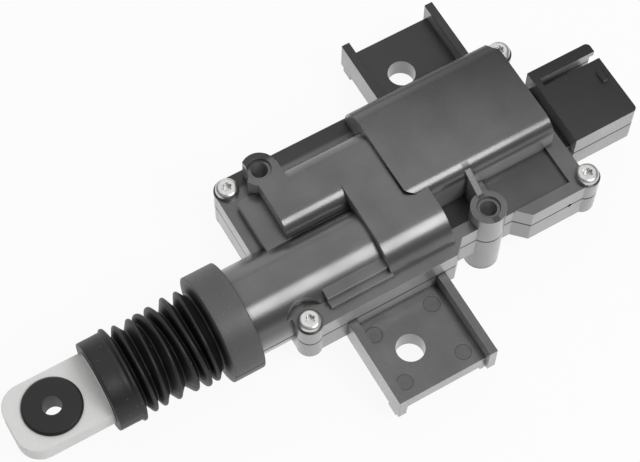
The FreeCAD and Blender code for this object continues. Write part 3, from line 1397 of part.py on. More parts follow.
rear_ring = ring(CAN_END, S["cap_length"] + 1.4, shaft_room, MOTOR_BUSH_OUTER)
turned("motor_rear_bush", rear_ring, MOTOR_Y)
make_can()
make_end_cap()
make_magnets()
core = core_shape()
shaped("armature_core", core, MOTOR_Y)
make_windings(core)
turned("commutator", ring(COMMUTATOR_START, S["commutator_length"], S["shaft_radius"],
                          S["commutator_radius"]), MOTOR_Y)
make_brushes()
make_cutout()
make_blades()

doc.recompute()
for item in doc.Objects:
    if "Invalid" in item.State or "Error" in item.State:
        raise RuntimeError("%s failed: %s" % (item.Name, item.State))

os.makedirs("parts", exist_ok=True)
pieces = [item for item in doc.Objects if item.TypeId in ("PartDesign::Body", "Part::Feature")
          and item.getParentGeoFeatureGroup() is None]
for piece in pieces:
    if piece.Shape.isNull() or not piece.Shape.isValid():
        raise RuntimeError("%s has no valid shape" % piece.Label)
for piece in pieces:
    piece.Shape.exportStep("parts/%s.step" % piece.Label)
    box = piece.Shape.BoundBox
    print("%-22s %9.1f mm3  %2d solids  x %.1f..%.1f  y %.1f..%.1f  z %.1f..%.1f" % (
        piece.Label, piece.Shape.Volume, len(piece.Shape.Solids),
        box.XMin, box.XMax, box.YMin, box.YMax, box.ZMin, box.ZMax))
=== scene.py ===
import math

import bpy
import numpy as np
from mathutils import Matrix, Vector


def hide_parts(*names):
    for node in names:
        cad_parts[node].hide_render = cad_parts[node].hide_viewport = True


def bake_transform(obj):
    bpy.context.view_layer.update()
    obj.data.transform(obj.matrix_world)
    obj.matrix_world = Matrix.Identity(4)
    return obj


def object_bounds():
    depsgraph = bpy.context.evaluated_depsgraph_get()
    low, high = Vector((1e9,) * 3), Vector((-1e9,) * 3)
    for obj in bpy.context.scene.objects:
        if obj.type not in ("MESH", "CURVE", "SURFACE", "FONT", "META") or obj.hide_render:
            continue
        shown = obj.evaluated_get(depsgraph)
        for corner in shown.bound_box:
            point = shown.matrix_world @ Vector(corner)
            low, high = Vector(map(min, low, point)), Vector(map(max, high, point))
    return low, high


bl_info = {
    "name": "Door latch actuator",
    "version": (1, 0, 0),
    "blender": (4, 5, 0),
    "location": "View3D > Sidebar > Actuator",
    "description": "Finishes, boot and stage of a door latch actuator",
    "category": "Object",
}

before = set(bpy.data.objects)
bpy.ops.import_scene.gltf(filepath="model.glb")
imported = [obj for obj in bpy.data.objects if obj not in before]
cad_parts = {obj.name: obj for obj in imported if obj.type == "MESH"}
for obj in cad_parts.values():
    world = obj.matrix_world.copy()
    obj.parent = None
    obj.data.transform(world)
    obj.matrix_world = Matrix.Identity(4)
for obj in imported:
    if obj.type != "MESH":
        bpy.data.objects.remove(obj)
CAD_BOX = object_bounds()

# All lengths are in metres. Places are counted from the middle between the mounting holes,
# or, along the boot, from the X of the near mounting hole.
HOLE_X = -0.0183
# Axis of the screw, the tube, the boot and the plunger: along X at this Y and Z
AXIS_Y = -0.0066
AXIS_Z = 0.0099
MM_PER_M = 1000.0

RIGHT, LEFT = (1.0, 0.0, 0.0), (-1.0, 0.0, 0.0)
FAR, NEAR = (0.0, 1.0, 0.0), (0.0, -1.0, 0.0)
UP, DOWN = (0.0, 0.0, 1.0), (0.0, 0.0, -1.0)
FAR_RIGHT = (0.45, 0.89, 0.0)


# Sizes and colours


class HousingLook(bpy.types.PropertyGroup):
    """Finish of the two moulded halves."""

    colour: bpy.props.FloatVectorProperty(
        name="Colour", description="Colour of the moulded plastic", subtype="COLOR",
        size=3, min=0.0, max=1.0, default=(0.026, 0.026, 0.027))
    pin_colour: bpy.props.FloatVectorProperty(
        name="Pin colour", description="Colour of ejector pin marks", subtype="COLOR",
        size=3, min=0.0, max=1.0, default=(0.006, 0.006, 0.006))
    # Painted reflection: the upright faces of the housing get this paler colour, which stands
    # in for the white floor reflected in them; it is not haze.
    painted_reflection_colour: bpy.props.FloatVectorProperty(
        name="Side colour", description="Colour of the hazy upright faces", subtype="COLOR",
        size=3, min=0.0, max=1.0, default=(0.25, 0.25, 0.251))
    plug_shade: bpy.props.FloatProperty(
        name="Connector shade", description="How much darker the connector is than the cover",
        default=0.79, min=0.0, max=1.0, subtype="FACTOR")
    far_shade: bpy.props.FloatProperty(
        name="Far side shade", description="How much darker the far flange and the far ear are",
        default=0.82, min=0.0, max=1.0, subtype="FACTOR")
    # Painted shade: the cover's level faces grow darker and less glossy toward the far right
    # corner.
    fade: bpy.props.FloatProperty(
        name="Fade", description="How much the cover's gloss fades toward the far right",
        default=0.9, min=0.0, max=1.0, subtype="FACTOR")
    # Painted shade: the next three make the recess floors, the deep pocket and the rib's top
    # darker and less glossy.
    recess_painted_shade: bpy.props.FloatProperty(
        name="Recess shade", description="How much darker the floors of the recesses are",
        default=0.5, min=0.0, max=1.0, subtype="FACTOR")
    pocket_painted_shade: bpy.props.FloatProperty(
        name="Pocket shade", description="How much darker the floor of the deep pocket is",
        default=0.8, min=0.0, max=1.0, subtype="FACTOR")
    rib_painted_shade: bpy.props.FloatProperty(
        name="Rib shade", description="How much darker the top of the rib is",
        default=0.65, min=0.0, max=1.0, subtype="FACTOR")
    roughness: bpy.props.FloatProperty(
        name="Roughness", description="Roughness of the polished faces", default=0.32,
        min=0.0, max=1.0, subtype="FACTOR")
    edge: bpy.props.FloatProperty(
        name="Edge radius", description="Radius of the moulded edges", default=0.00032,
        min=0.0, max=0.002, unit="LENGTH")


class BootShape(bpy.types.PropertyGroup):
    """Sizes and colour of the rubber boot."""

    collar_radius: bpy.props.FloatProperty(
        name="Large collar radius", description="Radius of the collar on the tube",
        default=0.0135, min=0.012, max=0.0136, unit="LENGTH")
    small_radius: bpy.props.FloatProperty(
        name="Small collar radius", description="Radius of the collar on the plunger",
        default=0.0111, min=0.010, max=0.012, unit="LENGTH")
    valley_radius: bpy.props.FloatProperty(
        name="Valley radius", description="Radius between two ridges",
        default=0.0089, min=0.0086, max=0.010, unit="LENGTH")
    wall: bpy.props.FloatProperty(
        name="Wall", description="Thickness of the rubber", default=0.0009,
        min=0.0005, max=0.0012, unit="LENGTH")
    colour: bpy.props.FloatVectorProperty(
        name="Colour", description="Colour of the rubber", subtype="COLOR",
        size=3, min=0.0, max=1.0, default=(0.006, 0.006, 0.0065))
    collar_colour: bpy.props.FloatVectorProperty(
        name="Collar colour", description="Colour of the rubber at the large collar",
        subtype="COLOR", size=3, min=0.0, max=1.0, default=(0.095, 0.095, 0.096))


class PlungerLook(bpy.types.PropertyGroup):
    """Finish of the plunger and its grommet."""

    nylon: bpy.props.FloatVectorProperty(
        name="Nylon colour", description="Colour of the plunger", subtype="COLOR",
        size=3, min=0.0, max=1.0, default=(0.80, 0.80, 0.79))
    rubber: bpy.props.FloatVectorProperty(
        name="Rubber colour", description="Colour of the grommet", subtype="COLOR",
        size=3, min=0.0, max=1.0, default=(0.005, 0.005, 0.0055))


class MetalLook(bpy.types.PropertyGroup):
    """Colours of the metal pieces."""

    zinc: bpy.props.FloatVectorProperty(
        name="Zinc", description="Colour of the zinc plating", subtype="COLOR",
        size=3, min=0.0, max=1.0, default=(0.64, 0.64, 0.63))
    bronze: bpy.props.FloatVectorProperty(
        name="Bronze", description="Colour of the sintered bushes", subtype="COLOR",
        size=3, min=0.0, max=1.0, default=(0.50, 0.33, 0.17))


class StageLook(bpy.types.PropertyGroup):
    """Floor, lamps and camera."""

    key: bpy.props.FloatProperty(
        name="Key lamp", description="Power of the large lamp at the near side, in watts",
        default=1.6, min=0.0)
    fill: bpy.props.FloatProperty(
        name="Fill lamp", description="Power of the broad lamp overhead, in watts",
        default=1.05, min=0.0)
    rim: bpy.props.FloatProperty(
        name="Rim lamp", description="Power of the low lamp at the far side, in watts",
        default=0.25, min=0.0)
    sky: bpy.props.FloatProperty(
        name="Sky", description="Strength of the surroundings overhead", default=0.28, min=0.0)
    lens: bpy.props.FloatProperty(
        name="Lens", description="Focal length in millimetres on a 36 mm sensor",
        default=110.08, min=20.0)


# Nodes that several finishes share

BLACK = (0.0, 0.0, 0.0, 1.0)
NUMBER = "NodeSocketFloat"
COLOUR = "NodeSocketColor"
VECTOR = "NodeSocketVector"
# Sockets of the mix node that hold its two colours and the mixed one
MIX_A, MIX_B, MIX_RESULT = 6, 7, 2


class Tree:
    """Adds nodes to a tree and joins them in short calls."""

    def __init__(self, tree):
        self.tree = tree

    def add(self, kind, **values):
        node = self.tree.nodes.new(kind)
        for word, value in values.items():
            setattr(node, word, value)
        return node

    def join(self, source, target):
        self.tree.links.new(source, target)

    def feed(self, socket, value):
        """A socket takes either another node's output or a plain value."""
        if isinstance(value, bpy.types.NodeSocket):
            self.join(value, socket)
        else:
            socket.default_value = value

    def math(self, operation, a, b=0.0, clamp=False):
        node = self.add("ShaderNodeMath", operation=operation, use_clamp=clamp)
        self.feed(node.inputs[0], a)
        self.feed(node.inputs[1], b)
        return node.outputs[0]

    def plus(self, a, b, clamp=False):
        return self.math("ADD", a, b, clamp)

    def minus(self, a, b):
        return self.math("SUBTRACT", a, b)

    def times(self, a, b):
        return self.math("MULTIPLY", a, b)

    def length(self, a, b):
        """Length of the line whose two square parts are a and b."""
        return self.math("SQRT", self.plus(self.times(a, a), self.times(b, b)))

    def swing(self, noise, strength):
        """Noise from 0 to 1, made to swing from minus to plus the strength."""
        return self.times(self.times(self.minus(noise, 0.5), 2.0), strength)

    def ramp(self, value, low, high, first=0.0, last=1.0):
        """Smooth step from first, where the value is low, to last, where it is high."""
        node = self.add("ShaderNodeMapRange", interpolation_type="SMOOTHSTEP")
        for index, item in enumerate((value, low, high, first, last)):
            self.feed(node.inputs[index], item)
        return node.outputs[0]

    def fall(self, value, width):
        """1 at the value 0, and 0 from the width on."""
        return self.ramp(value, 0.0, width, 1.0, 0.0)

    def mix(self, share, a, b):
        node = self.add("ShaderNodeMix", data_type="RGBA")
        self.feed(node.inputs[0], share)
        self.feed(node.inputs[MIX_A], a)
        self.feed(node.inputs[MIX_B], b)
        return node.outputs[MIX_RESULT]

    def place(self):
        return self.add("ShaderNodeTexCoord").outputs["Object"]

    def normal(self):
        return self.add("ShaderNodeNewGeometry").outputs["Normal"]

    def parts(self, vector):
        """The X, Y and Z of a vector."""
        node = self.add("ShaderNodeSeparateXYZ")
        self.join(vector, node.inputs[0])
        return node.outputs

    def dot(self, a, b):
        node = self.add("ShaderNodeVectorMath", operation="DOT_PRODUCT")
        self.join(a, node.inputs[0])
        self.join(b, node.inputs[1])
        return node.outputs["Value"]

    def noise(self, vector, scale, detail, rough=0.5):
        node = self.add("ShaderNodeTexNoise")
        self.join(vector, node.inputs["Vector"])
        self.feed(node.inputs["Scale"], scale)
        node.inputs["Detail"].default_value = detail
        node.inputs["Roughness"].default_value = rough
        return node.outputs["Fac"]

    def group(self, name, **values):
        node = self.add("ShaderNodeGroup", node_tree=shared_group(name))
        for word, value in values.items():
            self.feed(node.inputs[word], value)
        return node.outputs


def new_group(name, inputs, outputs):
    """An empty node group with the named sockets, and the sockets of its two ends."""
    tree = bpy.data.node_groups.new(name, "ShaderNodeTree")
    for word, kind, value in inputs:
        socket = tree.interface.new_socket(word, in_out="INPUT", socket_type=kind)
        socket.default_value = value
    for word, kind in outputs:
        tree.interface.new_socket(word, in_out="OUTPUT", socket_type=kind)
    made = Tree(tree)
    source = made.add("NodeGroupInput").outputs
    target = made.add("NodeGroupOutput").inputs
    return made, source, target


def tone_drift():
    """Colour that grows lighter and darker in broad soft clouds with a little fine mottle."""
    times_finer, cloud_share, mottle_share = 14.0, 0.7, 0.3
    made, source, target = new_group(
        "tone_drift",
        [("Colour", COLOUR, (0.5, 0.5, 0.5, 1.0)), ("Strength", NUMBER, 0.15),
         ("Scale", NUMBER, 120.0)],
        [("Colour", COLOUR)])
    place = made.place()
    clouds = made.noise(place, source["Scale"], detail=2.0)
    mottle = made.noise(place, made.times(source["Scale"], times_finer), detail=3.0, rough=0.65)
    both = made.plus(made.times(clouds, cloud_share), made.times(mottle, mottle_share))
    node = made.add("ShaderNodeVectorMath", operation="SCALE")
    made.join(source["Colour"], node.inputs[0])
    made.join(made.plus(1.0, made.swing(both, source["Strength"])), node.inputs["Scale"])
    made.join(node.outputs[0], target["Colour"])
    return made.tree


def skin():
    """Fine moulded skin: height for a bump, and roughness that wanders about its mean."""
    haze_scale, grain_share, haze_share = 0.05, 0.45, 0.55
    made, source, target = new_group(
        "skin",
        [("Scale", NUMBER, 3000.0), ("Roughness", NUMBER, 0.4), ("Swing", NUMBER, 0.1)],
        [("Height", NUMBER), ("Roughness", NUMBER)])
    place = made.place()
    grain = made.noise(place, source["Scale"], detail=3.0, rough=0.7)
    haze = made.noise(place, made.times(source["Scale"], haze_scale), detail=4.0, rough=0.6)
    made.join(grain, target["Height"])
    both = made.plus(made.times(grain, grain_share), made.times(haze, haze_share))
    wander = made.swing(both, source["Swing"])
    made.join(made.plus(source["Roughness"], wander, clamp=True), target["Roughness"])
    return made.tree


def soft_edges():
    """Normal that turns smoothly over each sharp edge, and a mask of those edges."""
    flat_cosine, edge_cosine = 0.995, 0.90
    made, source, target = new_group(
        "soft_edges", [("Radius", NUMBER, 0.0004)], [("Normal", VECTOR), ("Edge", NUMBER)])
    bevel = made.add("ShaderNodeBevel", samples=6)
    made.join(source["Radius"], bevel.inputs["Radius"])
    made.join(bevel.outputs[0], target["Normal"])
    turned = made.dot(bevel.outputs[0], made.normal())
    made.join(made.ramp(turned, flat_cosine, edge_cosine), target["Edge"])
    return made.tree


def level_line():
    """Mask of a thin line round the piece at one height, on its upright faces only."""
    upright_cosine, level_cosine = 0.5, 0.8
    made, source, target = new_group(
        "level_line", [("Level", NUMBER, AXIS_Z), ("Width", NUMBER, 0.0005)],
        [("Mask", NUMBER)])
    away = made.math("ABSOLUTE", made.minus(made.parts(made.place())["Z"], source["Level"]))
    slope = made.math("ABSOLUTE", made.parts(made.normal())["Z"])
    upright = made.ramp(slope, upright_cosine, level_cosine, 1.0, 0.0)
    made.join(made.times(made.fall(away, source["Width"]), upright), target["Mask"])
    return made.tree


def along():
    """Mask that rises from 0 to 1 between two places along a direction."""
    made, source, target = new_group(
        "along", [("Direction", VECTOR, RIGHT), ("From", NUMBER, 0.0), ("To", NUMBER, 0.001)],
        [("Mask", NUMBER)])
    reached = made.dot(made.place(), source["Direction"])
    made.join(made.ramp(reached, source["From"], source["To"]), target["Mask"])
    return made.tree


def facing_up():
    """Mask of the faces that look upward. From and To are cosines of their slope."""
    made, source, target = new_group(
        "facing_up", [("From", NUMBER, 0.5), ("To", NUMBER, 0.8)], [("Mask", NUMBER)])
    upward = made.parts(made.normal())["Z"]
    made.join(made.ramp(upward, source["From"], source["To"]), target["Mask"])
    return made.tree


def creases():
    """Mask of painted shade in the inner corners, where other faces stand within the reach."""
    closed, open_air = 0.45, 0.85
    made, source, target = new_group("creases", [("Reach", NUMBER, 0.002)], [("Mask", NUMBER)])
    near_by = made.add("ShaderNodeAmbientOcclusion", samples=8)
    made.join(source["Reach"], near_by.inputs["Distance"])
    made.join(made.ramp(near_by.outputs["AO"], closed, open_air, 1.0, 0.0), target["Mask"])
    return made.tree


def round_reach():
    """Distance from an axis along X, which is the screw's unless another is given."""
    made, source, target = new_group(
        "round_reach", [("Y", NUMBER, AXIS_Y), ("Z", NUMBER, AXIS_Z)], [("Reach", NUMBER)])
    place = made.parts(made.place())
    made.join(made.length(made.minus(place["Y"], source["Y"]),
                          made.minus(place["Z"], source["Z"])), target["Reach"])
    return made.tree


def dust():
    """Mask of scattered tiny specks; Share is the part of the cells that hold one."""
    made, source, target = new_group(
        "dust", [("Scale", NUMBER, 450.0), ("Size", NUMBER, 0.05), ("Share", NUMBER, 0.3)],
        [("Mask", NUMBER)])
    cells = made.add("ShaderNodeTexVoronoi")
    made.join(made.place(), cells.inputs["Vector"])
    made.join(source["Scale"], cells.inputs["Scale"])
    chosen = made.math("LESS_THAN", cells.outputs["Color"], source["Share"])
    speck = made.fall(cells.outputs["Distance"], source["Size"])
    made.join(made.times(speck, chosen), target["Mask"])
    return made.tree


def turning_lines():
    """Fine rings round the X axis, as a turned or ground piece has: height and roughness."""
    drawn_out, roughness_swing = (1.0, 0.02, 0.02), 0.125
    made, source, target = new_group(
        "turning_lines", [("Scale", NUMBER, 6000.0), ("Roughness", NUMBER, 0.3)],
        [("Height", NUMBER), ("Roughness", NUMBER)])
    stretch = made.add("ShaderNodeVectorMath", operation="MULTIPLY")
    made.join(made.place(), stretch.inputs[0])
    stretch.inputs[1].default_value = drawn_out
    rings = made.noise(stretch.outputs[0], source["Scale"], detail=2.0, rough=0.6)
    made.join(rings, target["Height"])
    wander = made.swing(rings, roughness_swing)
    made.join(made.plus(source["Roughness"], wander, clamp=True), target["Roughness"])
    return made.tree


def pin_mark():
    """The round mark that an ejector pin leaves: masks of its thin rim and of its disc."""
    made, source, target = new_group(
        "pin_mark",
        [("X", NUMBER, 0.0), ("Y", NUMBER, 0.0), ("Radius", NUMBER, 0.0016),
         ("Width", NUMBER, 0.0002)],
        [("Rim", NUMBER), ("Disc", NUMBER)])
    place = made.parts(made.place())
    reach = made.length(made.minus(place["X"], source["X"]),
                        made.minus(place["Y"], source["Y"]))
    away = made.math("ABSOLUTE", made.minus(reach, source["Radius"]))
    made.join(made.fall(away, source["Width"]), target["Rim"])
    made.join(made.math("LESS_THAN", reach, source["Radius"]), target["Disc"])
    return made.tree


MAKERS = {item.__name__: item for item in (
    tone_drift, skin, soft_edges, level_line, along, facing_up, creases, round_reach, dust,
    turning_lines, pin_mark)}


def shared_group(name):
    """The node group of that name, made when it is first asked for."""
    return bpy.data.node_groups.get(name) or MAKERS[name]()


# Finishes

# Depth of the relief of each kind of surface
MOULDED_DEPTH = 0.00006
RUBBER_DEPTH = 0.000014
METAL_DEPTH = 0.000006
# How deep a pin mark and a mould line lie, in times the depth of the relief
PIN_SUNK = 1.5
LINE_SUNK = 4.0
# How much of the tone is covered by wear and painted highlight on an edge, by a speck, and by a
# pin mark
EDGE_WEAR_AND_HIGHLIGHT, EDGE_RUB_AND_HIGHLIGHT = 0.55, 0.6
SPECK_ON_PLASTIC, SPECK_ON_RUBBER = 0.55, 0.5
PIN_RIM, PIN_DISC = 0.75, 0.18
# How much rougher a fully darkened face is
MATT_ROUGHER = 0.15
# Colours of dust and lint, of a parting line, and of the painted shade in a rubber fold, which
# is also the mould line's colour
DUST = (0.55, 0.55, 0.53, 1.0)
LINT = (0.5, 0.5, 0.48, 1.0)
LINE_SHADE = (0.002, 0.002, 0.002, 1.0)
PAINTED_FOLD_SHADE_AND_MOULD_LINE = (0.001, 0.001, 0.001, 1.0)


def finish(name, **plain):
    """A material with one Principled shader whose plain sockets get the given values."""
    material = bpy.data.materials.new(name)
    material.use_nodes = True
    made = Tree(material.node_tree)
    shader = material.node_tree.nodes["Principled BSDF"].inputs
    for word, value in plain.items():
        shader[word.replace("_", " ")].default_value = value
    return material, made, shader


def rgba(colour):
    """A colour of three numbers with full opacity."""
    return tuple(colour) + (1.0,)


def paler(colour, times, more):
    """The paler colour of an edge: wear, and a painted highlight along it."""
    return rgba(min(1.0, item * times + more) for item in colour)


def bump_of(made, height, distance, normal):
    """The normal with a relief on it that is as deep as the distance."""
    bump = made.add("ShaderNodeBump")
    bump.inputs["Distance"].default_value = distance
    made.join(height, bump.inputs["Height"])
    made.join(normal, bump.inputs["Normal"])
    return bump.outputs[0]


def moulded_finish(name, colour, roughness, edge, drift=0.3, grain=2600.0, line=None,
                   specks=0.0, pins=(), pin_colour=None, matt=(), coat=0.0, sides=None,
                   crease_shade=0.0, **plain):
    """Moulded plastic: drifting tone, fine skin, soft edges with wear and a painted highlight,
    painted shade in the inner corners, a parting line and dust.
    matt holds (bounds, share): where all bounds of (direction, from, to) are passed, level
    faces are darker and less glossy, as a matte finish and as painted shade.
    sides is the colour of the upright faces, a painted reflection."""
    material, made, shader = finish(name, **plain)
    tone = made.group("tone_drift", Colour=rgba(colour), Strength=drift, Scale=110.0)["Colour"]
    surface = made.group("skin", Scale=grain, Roughness=roughness, Swing=0.10)
    height, rough = surface["Height"], surface["Roughness"]
    edges = made.group("soft_edges", Radius=edge)
    # Painted highlight: sharp edges get a paler colour, which also stands for wear.
    wear_and_highlight = paler(colour, times=1.5, more=0.06)
    tone = made.mix(made.times(edges["Edge"], EDGE_WEAR_AND_HIGHLIGHT), tone, wear_and_highlight)
    gloss = coat
    if coat:
        gloss = made.group("tone_drift", Colour=(coat, coat, coat, 1.0), Strength=0.7,
                           Scale=95.0)["Colour"]

    def cover(share, shade=BLACK):
        """Covers a share of the tone, and takes the same share off the gloss."""
        nonlocal tone, gloss
        tone = made.mix(share, tone, shade)
        gloss = made.times(gloss, made.minus(1.0, share))

    # Painted reflection: the upright faces take the paler colour, and faces that lean upward
    # keep the tone.
    if sides is not None:
        leaning = made.group("facing_up", From=0.0, To=0.45)["Mask"]
        tone = made.mix(leaning, rgba(sides), tone)
    # Matte finish and painted shade: level faces inside each set of bounds are darker and less
    # glossy.
    if matt:
        level = made.group("facing_up", From=0.35, To=0.9)["Mask"]
    for bounds, share in matt:
        dull_and_shaded = made.times(level, share)
        for direction, start, end in bounds:
            beyond = made.group("along", Direction=direction, From=start, To=end)["Mask"]
            dull_and_shaded = made.times(dull_and_shaded, beyond)
        cover(dull_and_shaded)
        rough = made.plus(rough, made.times(dull_and_shaded, MATT_ROUGHER), clamp=True)
    for x, y, radius in pins:
        mark = made.group("pin_mark", X=x, Y=y, Radius=radius)
        cover(made.math("MAXIMUM", made.times(mark["Rim"], PIN_RIM),
                        made.times(mark["Disc"], PIN_DISC)), rgba(pin_colour))
        height = made.minus(height, made.times(mark["Disc"], PIN_SUNK))
    # Painted shade: inner corners are darker and less glossy.
    if crease_shade:
        cover(made.times(made.group("creases", Reach=0.0018)["Mask"], crease_shade))
    if line is not None:
        seam = made.group("level_line", Level=line, Width=0.0005)["Mask"]
        cover(seam, LINE_SHADE)
        rough = made.math("MAXIMUM", rough, seam)
    if specks:
        speck = made.group("dust", Scale=520.0, Size=0.07, Share=specks)["Mask"]
        tone = made.mix(made.times(speck, SPECK_ON_PLASTIC), tone, DUST)
    made.join(tone, shader["Base Color"])
    made.join(rough, shader["Roughness"])
    made.feed(shader["Coat Weight"], gloss)
    made.join(bump_of(made, height, MOULDED_DEPTH, edges["Normal"]), shader["Normal"])
    return material


def rubber_finish(name, colour, line=None, specks=0.35, bloomed=None, fold_shade_reach=None):
    """Black rubber: bloom in soft clouds, fine rough skin, mould line, pale dust and lint, and
    paler edges that are partly a painted highlight.
    bloomed is (from x, to x, colour): past that place the rubber is paler. fold_shade_reach is
    the reach from the axis at which the painted shade in a fold is darkest, and at which the
    rubber has its own colour."""
    material, made, shader = finish(name)
    tone = rgba(colour)
    if bloomed is not None:
        start, end, pale_colour = bloomed
        collar = made.group("along", From=start, To=end)["Mask"]
        tone = made.mix(collar, tone, rgba(pale_colour))
    # Painted shade: the rubber is darker in each valley between the ridges, near the axis.
    if fold_shade_reach is not None:
        beyond_fold_shade = made.ramp(made.group("round_reach")["Reach"], *fold_shade_reach)
        tone = made.mix(beyond_fold_shade, PAINTED_FOLD_SHADE_AND_MOULD_LINE, tone)
    tone = made.group("tone_drift", Colour=tone, Strength=0.35, Scale=90.0)["Colour"]
    surface = made.group("skin", Scale=2100.0, Roughness=0.46, Swing=0.12)
    edges = made.group("soft_edges", Radius=0.00025)
    # Painted highlight: the ridges' crests and other edges get a paler colour, partly also
    # rubbing.
    rub_and_highlight = paler(colour, times=2.4, more=0.04)
    tone = made.mix(made.times(edges["Edge"], EDGE_RUB_AND_HIGHLIGHT), tone, rub_and_highlight)
    speck = made.group("dust", Scale=620.0, Size=0.11, Share=specks)["Mask"]
    tone = made.mix(made.times(speck, SPECK_ON_RUBBER), tone, LINT)
    height = surface["Height"]
    if line is not None:
        seam = made.group("level_line", Level=line, Width=0.0007)["Mask"]
        tone = made.mix(seam, tone, PAINTED_FOLD_SHADE_AND_MOULD_LINE)
        height = made.minus(height, made.times(seam, LINE_SUNK))
    made.join(tone, shader["Base Color"])
    made.join(surface["Roughness"], shader["Roughness"])
    made.join(bump_of(made, height, RUBBER_DEPTH, edges["Normal"]), shader["Normal"])
    return material


def metal_finish(name, colour, roughness, rings=5200.0, **plain):
    """Turned or plated metal: fine rings, tone drift and soft edges."""
    material, made, shader = finish(name, Metallic=1.0, **plain)
    tone = made.group("tone_drift", Colour=rgba(colour), Strength=0.14, Scale=260.0)["Colour"]
    lines = made.group("turning_lines", Scale=rings, Roughness=roughness)
    edges = made.group("soft_edges", Radius=0.00015)
    # Edges get a paler colour, as on the rubber: wear and a painted highlight.
    rub_and_highlight = paler(colour, times=1.15, more=0.02)
    tone = made.mix(made.times(edges["Edge"], EDGE_RUB_AND_HIGHLIGHT), tone, rub_and_highlight)
    made.join(tone, shader["Base Color"])
    made.join(lines["Roughness"], shader["Roughness"])
    made.join(bump_of(made, lines["Height"], METAL_DEPTH, edges["Normal"]), shader["Normal"])
    return material


def dress(node, material):
    """Gives a node of the model its finish in every material slot."""
    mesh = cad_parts[node].data
    if not mesh.materials:
        mesh.materials.append(material)
    for index in range(len(mesh.materials)):
        mesh.materials[index] = material


# New shapes


def new_piece(name, points, faces, material, smooth=True):
    """An object with the mesh of these points and faces, linked to the scene."""
    mesh = bpy.data.meshes.new(name)
    mesh.from_pydata(points.tolist(), [], faces.tolist())
    mesh.materials.append(material)
    mesh.polygons.foreach_set("use_smooth", np.full(len(mesh.polygons), smooth))
    mesh.update()
    piece = bpy.data.objects.new(name, mesh)
    bpy.context.scene.collection.objects.link(piece)
    return piece


def through(knots, steps):
    """Smooth closed line through the knots, for every angle at once: each stretch is the
    cubic p(t) that meets both knots and whose slope at a knot is half the step between the
    knots on either side. knots is (knots, angles, 2)."""
    before = np.roll(knots, 1, axis=0)[:, None]
    here = knots[:, None]
    after = np.roll(knots, -1, axis=0)[:, None]
    beyond = np.roll(knots, -2, axis=0)[:, None]
    t = (np.arange(steps) / steps)[None, :, None, None]
    curve = 0.5 * (
        2 * here
        + (after - before) * t
        + (2 * before - 5 * here + 4 * after - beyond) * t ** 2
        + (3 * here - before - 3 * after + beyond) * t ** 3
    )
    return curve.reshape(-1, knots.shape[1], 2)


def round_angles(around):
    """Evenly spaced angles of one full turn, without the last."""
    return np.linspace(0.0, 2.0 * math.pi, around, endpoint=False)


def turned_surface(profile, y, z):
    """Closed profile of (x, r) points, one for each angle, carried round an axis along X:
    (x(a), y + r(a) cos a, z + r(a) sin a), with a from 0 to 2 pi."""
    around = profile.shape[1]
    angle = round_angles(around)
    x, r = profile[..., 0], profile[..., 1]
    points = np.stack([x, y + r * np.cos(angle), z + r * np.sin(angle)], axis=-1).reshape(-1, 3)
    row = np.arange(len(profile))[:, None]
    column = np.arange(around)[None, :]
    next_row = (row + 1) % len(profile)
    next_column = (column + 1) % around
    faces = np.stack([
        row * around + column,
        row * around + next_column,
        next_row * around + next_column,
        next_row * around + column,
    ], axis=-1).reshape(-1, 4)
    return points, faces


# The boot's outline. x is counted from the near mounting hole
BOOT_ANGLES = 144
STEPS_A_KNOT = 4
RIDGES = [  # a crest's x at the far side, top, near side and underside, and its radius, in mm
    ((-41.9, -42.9, -42.4, -42.2), 11.45), ((-45.4, -46.0, -44.8, -45.2), 11.65),
    ((-49.7, -48.6, -47.8, -48.7), 11.25), ((-52.9, -51.4, -52.0, -52.3), 11.05),
    ((-54.8, -55.0, -55.6, -55.3), 10.9), ((-58.2, -58.6, -58.3, -58.3), 11.0),
    ((-61.4, -61.4, -61.4, -61.4), 11.7),
]
CREST = [  # steps along x from the crest's place, and how far below its radius
    (0.00062, 0.00055), (0.00025, 0.00008), (-0.00025, 0.00008), (-0.00062, 0.00055)]
CREST_WALL = 1.3  # wall under a crest, in times the wall
VALLEY_HALF, VALLEY_RISE = 0.0002, 0.00015
LARGE_COLLAR = [  # x, and how far below the large collar's radius
    (-0.03145, 0.0007), (-0.0316, 0.00015), (-0.0321, 0.0), (-0.0360, 0.0), (-0.0389, 0.0),
    (-0.03925, 0.0001), (-0.0394, 0.0005), (-0.0398, 0.0022)]
SMALL_COLLAR = [  # x, and how far below the small collar's radius
    (-0.0629, -0.00005), (-0.0640, 0.0), (-0.0672, 0.0), (-0.06755, 0.0002),
    (-0.0676, 0.0007)]
NECK = [(-0.0400, 0.0101), (-0.0404, 0.0097), (-0.0410, 0.0100)]  # x and radius
SEAT_RADIUS = 0.00875  # of the small collar on the plunger
PLUNGER_SEAT = [
    (-0.0676, SEAT_RADIUS + 0.0004), (-0.0674, SEAT_RADIUS), (-0.0628, SEAT_RADIUS),
    (-0.0622, SEAT_RADIUS)]
TUBE_SEAT = [
    (-0.0413, 0.0087), (-0.0396, 0.0089), (-0.0395, 0.01100), (-0.0390, 0.01105),
    (-0.0320, 0.01105), (-0.03155, 0.01115)]
BLOOM_START, BLOOM_END = -0.0398, -0.0393
# Beyond this reach the painted valley shade ends.
CREST_REACH = 0.0112  # distance from the axis at which a ridge has its own colour


def lean(places, angle):
    """Place of a ridge that isn't quite square to the axis, at each angle:
    m + p cos a + q sin a + s cos 2a, which meets the four given places."""
    far, top, side, under = places
    mean = (far + top + side + under) / 4
    tilt = (far - side) / 2 * np.cos(angle) + (top - under) / 2 * np.sin(angle)
    return mean + tilt + (far + side - top - under) / 4 * np.cos(2 * angle)


